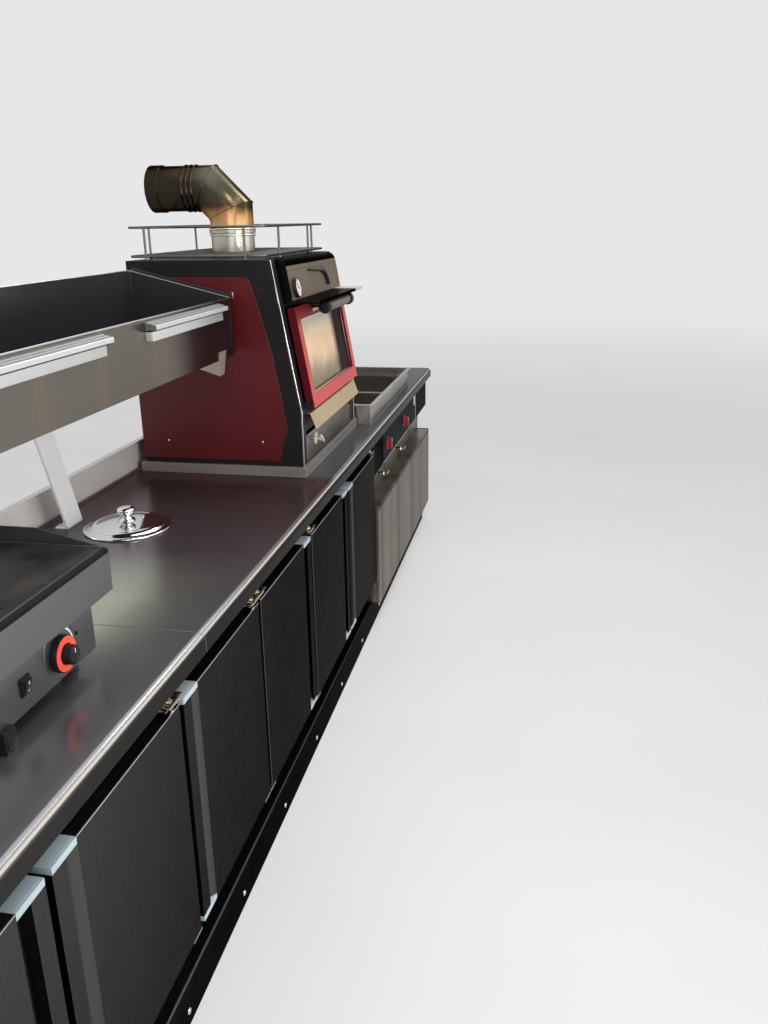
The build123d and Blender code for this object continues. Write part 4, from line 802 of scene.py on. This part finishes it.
# Griddle
def make_griddle_knob():
    """The knob in its skirt and signal ring, with the escutcheon and the heat scale behind it."""
    x, y, z = spot = (-1411.5, -204.7, 981)
    dish = [(-0.3, 0), (-0.3, 34.5), (11.2, 34.5), (12.8, 33.6), (13, 32), (13, 15), (13, 0)]
    skirt = Shape().lathe(dish, spot, FRONT, 56)
    skirt.piece("griddle_knob_skirt", "black_plastic", stands_for=("griddle_controls",))
    plate = Shape().lathe([(-0.3, 50), (0.6, 50), (1, 49), (0.6, 47.8), (-0.3, 47.8), (-0.3, 50)],
                          (x, y, z + 10), FRONT, 64)
    plate.piece("griddle_escutcheon", "griddle_steel")
    ring = Shape().lathe([(12.8, 19.5), (13.6, 19.9), (13.8, 21.5), (13.8, 30.8), (13.4, 32.2),
                          (12.4, 32.5), (12.4, 19.5), (12.8, 19.5)], spot, FRONT, 56)
    ring.piece("griddle_knob_ring", "signal_orange", slot="red_plastic")

    scale = Shape()
    section = ((43, -0.3), (43, 0.7), (47, 0.7), (47, -0.3))
    angles = [radians(14 + 84 * k / 24) for k in range(25)]
    scale.skin([[(x + r * sin(a), y - out, z + r * cos(a)) for r, out in section] for a in angles])
    scale.block((-0.8, -31.2, 4), (0.8, -30, 12.5), 0.3, at=spot)
    scale.piece("griddle_heat_scale", "white_mark", slot="dial")

    knob = Shape().lathe([(12.6, 0), (12.6, 17.6), (15, 17.8), (28, 16.4), (29.8, 15), (30.4, 12), (30.5, 0)],
                         spot, FRONT, 40)
    for a in circle(12):
        knob.block((-2.2, -29, 15.8), (2.2, -14, 17.8), 0.6, Matrix.Rotation(a, 3, "Y"), spot)
    knob.piece("griddle_knob", "black_plastic")


def make_griddle_switch():
    x, y, z = spot = (-1522, -204.7, 978.5)
    switch = Shape().block((-14.5, -2.2, -17), (14.5, 0.2, 17), 1, at=spot)
    switch.block((-12.4, -4.8, -15), (12.4, -0.4, 15), 0.8, at=spot)
    switch.block((-10, -7.5, -12.6), (10, -1, 12.6), 1, turned(9, "X"), spot)
    switch.piece("griddle_switch", "black_plastic")
    marks = Shape().block((-0.6, -10, 3), (0.6, -8, 9.2), 0.2, at=spot)
    ring = [(x + 2.4 * cos(a), y - 6.2, z - 6.6 + 2.4 * sin(a)) for a in circle(16)]
    marks.tube(ring, 0.5, 5, True)
    marks.piece("griddle_switch_marks", "white_mark", slot="dial")
    lens = [(-0.4, 0), (-0.4, 4.2), (1, 4.2), (1.4, 3.4), (1.4, 0)]
    pilot = Shape().lathe(lens, (-1353, y, 992), FRONT, 20)
    pilot.piece("griddle_pilot", "black_panel")


def make_griddle_edges():
    """The block under the front edge, the plate's rim, the dark band under that, and the feet."""
    block = Shape().block((-1609, -217, 900.3), (-1577, -195, 940.5), 2)
    block.block((-1605, -218.5, 908), (-1581, -216.5, 933), 0.8)
    block.piece("griddle_front_block", "black_plastic")
    rim = Shape().block((-1846.5, -215, 1119.6), (-1243.5, -212.8, 1121.8), 0.6)
    for x in (-1846.5, -1245.7):
        rim.block((x, -215, 1119.6), (x + 2.2, 208.5, 1121.8), 0.6)
    rim.piece("griddle_plate_rim", "griddle_steel")
    band = Shape().block((-1846.2, -217.4, 1108.4), (-1243.8, -215.8, 1119.8), 0.6)
    band.block((-1244.6, -217.4, 1108.4), (-1243, -190, 1119.8), 0.6)
    band.piece("griddle_plate_band", "black_panel")
    feet = Shape()
    for x in (-1757, -1333):
        for y in (-164.5, 159.5):
            for half, low, high in ((13.8, 900.2, 908), (11.5, 907, 931.9)):
                feet.block((-half, -half, low), (half, half, high), 1.5, at=(x, y, 0))
    feet.piece("griddle_rubber_feet", "black_plastic", stands_for=("griddle_feet",))


# Oven
def make_thermometer():
    spot = oven_point(122.2, 561, CONSOLE_PROUD + 0.3)
    bezel = Shape().lathe([(0, 0), (0, 31.8), (9.2, 31.8), (11.6, 30.6), (11.8, 29.4), (10.8, 28.8),
                           (9.4, 28.4), (9.4, 0)], spot, OUT, 48)
    bezel.piece("thermometer_bezel", "black_plastic", stands_for=("thermometer",))
    face = Shape().lathe([(9.2, 0), (9.2, 28.2), (10, 28), (10.1, 0)], spot, OUT, 40)
    face.piece("thermometer_dial", "dial")

    def ray(degrees):
        return UP * cos(radians(degrees)) + ACROSS * sin(radians(degrees))

    needle = Shape()
    centre = spot + OUT * 10.8
    ticks = 20
    for k in range(ticks + 1):
        start = 23.2 if k % 5 else 21.2
        tick = ray(-135 + 270 * k / ticks)
        needle.tube([centre + tick * reach - OUT * 0.4 for reach in (start, 25.8)], 0.35, 4)
    needle.tube([centre + ray(-40) * reach for reach in (-6, 20)], 0.7, 6)
    needle.lathe([(-1, 0), (-1, 2.6), (0.8, 2.4), (1.1, 0)], centre, OUT, 20)
    needle.piece("thermometer_needle", "black_plastic")


def make_oven_handle():
    up, half, steps = 306, 150, 40
    bar = door_point(OVEN_MIDDLE, up, 92.2)
    profile = [(-half, 0)]
    for k in range(steps + 1):
        place = -half + 2 * half * k / steps
        swell = 16.3 + 1.4 * cos(pi * place / half / 2)
        profile.append((place, swell - (0.7 if k % 4 == 0 else 0)))
    profile.append((half, 0))
    grip = Shape().lathe(profile, bar, ACROSS, 28)
    grip.piece("oven_handle_grip", "handle_grip", "oven_door", slot="black_plastic")
    caps, posts = Shape(), Shape()
    for way in (-1, 1):
        caps.lathe([(0, 17.5), (0, 19.8), (1.8, 21.6), (6, 22), (25, 22), (30, 21), (33, 17.6),
                    (33.9, 11), (34, 0)], bar + ACROSS * way * (half - 4), (way, 0, 0))
        foot = door_point(OVEN_MIDDLE + way * 120, up, 34.3)
        posts.lathe([(0, 0), (0, 11.5), (3.5, 11.5), (6, 8), (11, 6.6), (48, 6.6), (56, 8.5), (60, 0)],
                    foot, OUT, 24)
    caps.piece("oven_handle_caps", "black_plastic", "oven_door")
    posts.piece("oven_handle_posts", "golden_steel", "oven_door", stands_for=("door_handle",),
                slot="bright_steel")


def make_oven_fittings():
    """The side panels' rivets in pale steel as a painted highlight, the drawer's draught knob, and the folds
    and vents of its front.
    """
    rivets = Shape()
    for x, way in ((3.8, -1), (760.2, 1)):
        for y, z in ((216.8, 1009.2), (-114.9, 1013.4)):
            rivets.lathe([(-0.5, 0)] + pan_head(3.4, 2)[1:], (x, y, z), (way, 0, 0), 18)
    rivets.piece("oven_side_rivets", "pale_steel", slot="oven_red")
    spot = (177, -247.6, 989.5)
    knob = Shape().lathe([(0, 0), (0, 21), (2, 21), (3, 19.5), (3.4, 6.5), (14, 6), (14.5, 8.5), (19, 8.5),
                          (20, 7), (20.2, 0)], spot, FRONT)
    knob.block((-23, -27, -5), (23, -18.5, 5), 2.5, turned(38, "Y"), spot)
    knob.piece("draught_knob", "pale_steel", "ash_drawer", slot="bright_steel")
    lip = Shape().block((67.5, -250.2, 1020.5), (696.5, -247.4, 1026.8), 1)
    for x in range(300, 461, 40):
        lip.block((-15, -248.4, 956), (15, -247.2, 960.5), 0.6, at=(x, 0, 0))
    lip.piece("drawer_front_fold", "fryer_steel", "ash_drawer")


def make_console():
    """The arch under the brow, turned down at its far end, with the blank plate and the seam."""
    line = [oven_point(305, 607.5), oven_point(360, 606), oven_point(420, 603.5)]
    for a in [radians(90 - 82 * k / 12) for k in range(13)]:
        line.append(oven_point(462 + 66 * cos(a), 537 + 65.5 * sin(a)))
    rows = []
    for k, place in enumerate(line):
        ahead = (line[min(k + 1, len(line) - 1)] - line[max(k - 1, 0)]).normalized()
        side = ahead.cross(OUT)
        wide = 3 + 7.5 * min(1, k / 4)
        section = ((-wide, -0.8), (-wide, 7), (3 - wide, 10), (wide - 3, 10), (wide, 7), (wide, -0.8))
        rows.append([place + side * reach + OUT * rise for reach, rise in section])
    arch = Shape()
    arch.skin(rows)
    arch.piece("console_arch", "black_plastic", angle=50)

    middle = oven_point(645, 575.5)
    badge = Shape().block((-46, -1.6, -33), (46, 0.8, 33), 0.8, ON_FACE, middle)
    for dx, dz in ((-42, -29), (-42, 29), (42, -29), (42, 29)):
        badge.lathe(pan_head(2.2, 1), middle + ACROSS * dx + UP * dz + OUT * 1.4, OUT, 14)
    badge.piece("console_blank_plate", "bare_plate", slot="bright_steel")

    spans = ((62.5, 701.5, 617, 618.2), (62.5, 63.7, 533, 618.2), (700.3, 701.5, 533, 618.2))
    leaning_strips(spans, 0.6, 0.2, oven_point).piece("console_seam", "black_plastic")


def make_glass_beads():
    spans = ((104, 660, 42, 48), (104, 660, 280, 286), (104, 110, 42, 286), (654, 660, 42, 286))
    beads = leaning_strips(spans, 1.2, 0.6, lambda x, up: door_point(x, up, 26.2))
    beads.piece("oven_glass_beads", "bright_steel", "oven_door")


# Flue and rack
def make_flue():
    """The pipe's three ribs, the weld seams at the elbow's two mitres, and the collar's rings."""
    radius = FLUE_RADIUS
    mitre_z, slant = 1739, 107
    run_y = FLUE_Y + slant * cos(radians(45))
    run_z = mitre_z + slant * sin(radians(45))
    ribs = Shape()
    for y in (196, 214, 232):
        ribs.lathe([(-5.5, radius - 0.5), (-3, radius + 2.2), (0, radius + 3.4), (3, radius + 2.2),
                    (5.5, radius - 0.5)], (OVEN_MIDDLE, y, run_z), (0, 1, 0), 64)
    ribs.piece("flue_ribs", "flue_steel", angle=60)

    seams = Shape()
    reach = radius + 0.6
    tilt = tan(radians(22.5))
    ring = [(reach * cos(a), reach * sin(a)) for a in circle(64)]
    seams.tube([(OVEN_MIDDLE + u, FLUE_Y + v, mitre_z - tilt * v) for u, v in ring], 1.8, 6, True)
    seams.tube([(OVEN_MIDDLE + u, run_y - tilt * v, run_z + v) for u, v in ring], 1.8, 6, True)
    seams.piece("flue_weld_seams", "flue_steel", angle=60)

    rings = Shape()
    for z in (1659.5, 1680):
        rings.lathe([(-3, radius + 5.2), (-1.6, radius + 6.6), (1.6, radius + 6.6), (3, radius + 5.2),
                     (3, radius + 0.4), (-3, radius + 0.4), (-3, radius + 5.2)],
                    (OVEN_MIDDLE, FLUE_Y, z), TOP, 64)
    rings.lathe([(0, radius + 10), (1, radius + 10), (3, radius + 2), (4, radius + 0.2)],
                (OVEN_MIDDLE, FLUE_Y, OVEN_TOP), TOP, 64)
    rings.piece("flue_collar_rings", "bright_steel", angle=50)


def make_rack():
    """A shelf of wires with a frame round the flue, posts and a rounded top rail."""
    x0, x1, y0, y1 = 19, 745, -147.5, 302.5
    shelf_z, rail_z = 1602, 1690
    reach, pitch = 91, 56
    near, far = FLUE_Y - reach, FLUE_Y + reach
    rack = Shape()
    for z in (shelf_z, rail_z):
        rack.tube(rounded(rectangle(x0, x1, y0, y1, z), 30.7, 8), 3.8, 10, True)
    frame_line = rectangle(OVEN_MIDDLE - reach, OVEN_MIDDLE + reach, near, far, shelf_z)
    rack.tube(rounded(frame_line, 12, 5), 3.6, 10, True)
    for k in range(-6, 7):
        spans = [(y0, near), (far, y1)] if abs(k * pitch) < reach else [(y0, y1)]
        for low, high in spans:
            rack.tube([(OVEN_MIDDLE + k * pitch, y, shelf_z + 1) for y in (low, high)], 2.4, 8)
    posts = [(x, y) for x in (x0, x1) for y in (y0 + 60, y1 - 60)]
    posts += [(OVEN_MIDDLE + dx, y) for dx in (-200, 200) for y in (y0, y1)]
    for x, y in posts:
        rack.lathe([(0, 0), (0, 6), (1.5, 6.4), (3.5, 4.5), (5, 3.8), (99, 3.8), (102, 2.6), (103, 0)],
                   (x, y, OVEN_TOP), TOP, 14)
    rack.piece("gallery_rack", "rack_wire", stands_for=("wire_rack",), slot="chrome")


# Trough and ticket rails
def make_trough():
    x0, x1, y0, y1 = -1849, -49, -57.5, 272.5
    front, back, inset = 1481, 1563, 1.5
    hem = rectangle(x0 + inset, x1 - inset, y0 + inset, y1 - inset, 0)
    hem = [(x, y, back if y > 0 else front) for x, y, z in hem]
    roll = Shape().tube(rounded(hem, 6, 4), 2.8, 10, True)
    roll.piece("trough_rolled_hem", "hem_steel", slot="bright_steel")

    # end-wall tabs folded over the front wall, with their spot welds
    folds = Shape()
    for x, way in ((x0, 1), (x1, -1)):
        start, end = sorted((x, x + way * 22))
        folds.block((start, y0 - 1.3, 1312), (end, y0 + 0.4, 1470), 0.5)
        for k in range(4):
            folds.lathe([(-0.4, 0), (-0.4, 3.4), (0.6, 3), (0.2, 1.2), (0.2, 0)],
                        (x + way * 11, y0 - 1.3, 1335 + k * 38), FRONT, 14)
    folds.piece("trough_corner_tabs", "trough_steel")

    # upturned edge along each outer rim flange
    lips = Shape()
    for x in (x0 - 18, x1 + 16.4):
        section = ((0, -1), (1.6, -1), (1.6, 8.5), (0.8, 9), (0, 8.5))
        lips.skin([[(x + dx, y, level + dz) for dx, dz in section] for y, level in ((y0, front), (y1, back))])
    lips.piece("trough_flange_lips", "trough_steel")
    tips = Shape()
    for x in (x0 - 17.2, x1 + 17.2):
        tips.block((-2.2, -2.2, -5), (2.2, 2.4, 16), 0.8, at=(x, y0, front))
    tips.piece("trough_flange_tips", "bright_steel")

    # strip on the front wall's lower edge, with the gusset it holds below the trough
    stay = Shape().prism([(-185, 0, 1333), (-127, 0, 1333), (-157, 0, 1264), (-198, 0, 1264)],
                         (0, -60.2, 0), (0, 2.5, 0))
    stay.prism([(-333, 0, 1308), (-170, 0, 1308), (-180, 0, 1266), (-198, 0, 1266)],
               (0, -57.8, 0), (0, 2.2, 0))
    for x, z in ((-160, 1324), (-164, 1314)):
        stay.lathe(pan_head(3, 1.6), (x, -60.2, z), FRONT, 16)
    stay.piece("trough_stay", "stay_steel", slot="fryer_steel")

    bolts = Shape()
    for foot_x in (-1599, -557):
        for dx in (-26, 26):
            bolts.lathe([(0, 0), (0, 6.5), (1.2, 6.5), (1.2, 4.8), (5, 4.8), (5.6, 4), (5.6, 0)],
                        (foot_x + dx, 282.5, 904.1), TOP, 6)
    bolts.piece("trough_leg_bolts", "bright_steel")


def make_ticket_rails():
    """Two rails with a grooved head, a plate and a seal under it, and a rubber end with an eyelet."""
    # outlines across a rail's head: distance out from the trough, drop below its top edge
    slope = 8 / 30
    head = [(0, 0)]
    for groove in (7, 17.5):
        head += [(groove, groove * slope), (groove + 0.4, groove * slope + 4.5),
                 (groove + 3.6, groove * slope + 5), (groove + 4, (groove + 4) * slope)]
    head += [(29, 7.7), (30, 9.2), (30, 18.5), (28.8, 19.8), (0, 20)]
    stop = ((0.6, 1.2), (28, 8.4), (29.2, 9.6), (29.2, 18.2), (28, 19.2), (0.6, 19.2))
    eyelet = [(0, 7.8), (0.8, 7.8), (1.2, 7), (1, 4), (0, 3.6), (0, 7.8)]
    back_y, top_z = -57.7, 1475
    rails, plates, ends, seals = Shape(), Shape(), Shape(), Shape()
    # columns: near end, length of the head
    for near, length in ((-1789, 920), (-651, 492)):
        spot = (near, back_y, top_z)
        rails.prism([(0, -out, -drop) for out, drop in head], spot, (length, 0, 0))
        plates.block((0, -18, -47), (length - 14, 0, -24.5), 1, at=spot)
        ends.prism([(-1.4, -out, -drop) for out, drop in stop], spot, (2, 0, 0))
        ends.lathe(eyelet, (near - 1.4, back_y - 17, top_z - 13), (-1, 0, 0), 24)
        seals.block((1, -16.5, -25.5), (length - 1, -0.6, -19), 0.3, at=spot)
    rails.piece("ticket_grip_rails", "rail_aluminium", angle=25, stands_for=("ticket_rails",))
    plates.piece("ticket_rail_plates", "rail_aluminium")
    ends.piece("ticket_rail_ends", "grey_rubber", slot="rail_aluminium")
    seals.piece("ticket_rail_seals", "black_plastic")


# Fryer
TANK_XS = (1025, 1475)
PANEL_Y = -337.9
KNOB_Z = 762


def make_fryer_panel():
    knobs, marks = Shape(), Shape()
    for x in TANK_XS:
        spot = (x, PANEL_Y, KNOB_Z)
        knobs.lathe([(0, 0), (0, 25.8), (4, 26.2), (6.6, 24.6), (7.4, 19), (8, 0)], spot, FRONT, 40)
        knobs.block((-5.5, -21.8, -24), (5.5, -5, 24), 2.8, at=spot)
        marks.block((-0.9, -22.2, 4), (0.9, -21.4, 18), 0.3, at=spot)
        for a in [radians(-120 + 30 * k) for k in range(9)]:
            marks.block((-0.7, -0.5, 28.4), (0.7, 0.4, 31.6), 0.2, Matrix.Rotation(a, 3, "Y"), spot)
    knobs.piece("fryer_grip_knobs", "red_plastic", stands_for=("fryer_knobs",))
    marks.piece("fryer_knob_marks", "white_mark", slot="dial")
    tag = Shape().block((1770, PANEL_Y - 0.4, 778), (1806, PANEL_Y + 0.4, 832), 0.3)
    tag.piece("fryer_blank_tag", "white_mark", slot="dial")
    # columns: colour, distance from the knob
    for colour, dx in (("amber", 60), ("green", 86)):
        lamps = Shape()
        for x in TANK_XS:
            lamps.lathe([(-0.2, 0), (-0.2, 6.2), (1.5, 6.2), (2.2, 5.2), (5, 4.8), (6.6, 3.4), (7, 0)],
                        (x + dx, PANEL_Y, KNOB_Z), FRONT, 24)
        lamps.piece(f"fryer_lamps_{colour}", f"lamp_{colour}", slot="red_plastic")
    strip = Shape().block((934.5, PANEL_Y - 1, 695.5), (1827.5, PANEL_Y + 7.8, 699.8), 0.8)
    strip.block((1825.5, PANEL_Y - 1, 695.5), (1828, PANEL_Y + 4.2, 845), 0.8)
    strip.piece("fryer_panel_strip", "bright_steel")
    # a black strip along the joint of the cabinet's top and front, as painted shade in the gap
    joint_shade_strip = Shape().block((754, -351.2, 539.5), (2214, -350, 546), 0.4)
    joint_shade_strip.piece("fryer_cabinet_joint_shade", "black_panel")


def make_drain_valves():
    axis_z = 622
    edge = [(0, 4), (20, 5), (42, 5.8), (47.5, 4.4)]
    lever = [(u, -v) for u, v in edge] + [(50, 0)] + edge[::-1] + [(-5, 0)]
    taps, levers = Shape(), Shape()
    for x in TANK_XS:
        back = (x, -285.7, axis_z)
        taps.lathe([(0, 0), (0, 10), (6, 10), (6.2, 7.8), (10, 7.8)], back, FRONT)
        taps.lathe([(9.8, 7.8), (10, 10.3), (20, 10.3), (20.2, 7.8)], back, FRONT, 6)
        taps.lathe([(20, 7.8), (21.5, 9.8), (27, 10.2), (33, 9.8), (35, 8), (38, 7.4), (44, 7.4), (44.6, 6),
                    (44.6, 0)], back, FRONT)
        levers.prism([(u, 0, v) for u, v in lever], (x + 0.5, -335.2, axis_z), (0, 2.4, 0))
        levers.lathe([(0, 0), (0, 4.6), (1.6, 4.6), (2, 3.6), (2.2, 0)], (x, -335, axis_z), FRONT, 6)
    taps.piece("drain_valves", "chrome", stands_for=("drain_taps",))
    levers.piece("drain_valve_levers", "bright_steel")


def make_heating_coils():
    coils = Shape()
    reach = 150
    for x in TANK_XS:
        line = []
        for k in range(7):
            way = 1 if k % 2 else -1
            line += [(x + way * reach, -235 + k * 31.5, 800), (x - way * reach, -235 + k * 31.5, 800)]
        coils.tube(rounded(line, 14.5, 6, False), 5.5)
    coils.piece("fryer_heating_coils", "grate_iron")


# Pan lid
def make_lid():
    x, y, z = spot = (-552, 102.5, 900.3)
    lid = Shape().lathe([
        (0, 113), (0, 118), (1.6, 119.8), (4, 119.6), (5.2, 118), (5.4, 112), (6, 106), (8.8, 103.5),
        (12, 100.5), (13.6, 94), (14.2, 90), (13.8, 86), (15, 80), (17.4, 62), (19.2, 42), (20.2, 24),
        (20.6, 12), (20.6, 0), (18, 0), (17.6, 24), (15, 62), (11.4, 86), (11, 98), (6.2, 102), (4, 106),
        (3.4, 113), (0, 113),
    ], spot, TOP, 96)
    lid.piece("pan_lid_plate", "chrome", "pan_lid", 50, ("pan_lid",))
    knob = Shape().lathe([
        (20, 0), (20, 22.6), (22.2, 23.2), (24, 21.6), (25.2, 17), (29, 14.2), (33.5, 13.8), (38, 15.8),
        (41, 21.2), (45, 24.4), (51.5, 24.8), (56, 22.8), (58.5, 16.8), (59.2, 8), (59.4, 0),
    ], spot, TOP, 48)
    knob.piece("pan_lid_knob", "chrome", "pan_lid", 50)
    vent = Shape().lathe([(0, 0), (0, 4.4), (2, 4.4), (2.6, 3.6), (2.6, 1.8), (1.2, 1.6), (1.2, 0)],
                         (x + 36, y - 30, z + 18.8), TOP, 20)
    vent.piece("pan_lid_vent", "bright_steel", "pan_lid")


for make in (make_kerb_screws, make_worktop_seals, make_hinges, make_doors, make_griddle_knob,
             make_griddle_switch, make_griddle_edges, make_thermometer, make_oven_handle,
             make_oven_fittings, make_console, make_glass_beads, make_flue, make_rack, make_trough,
             make_ticket_rails, make_fryer_panel, make_drain_valves, make_heating_coils, make_lid):
    make()
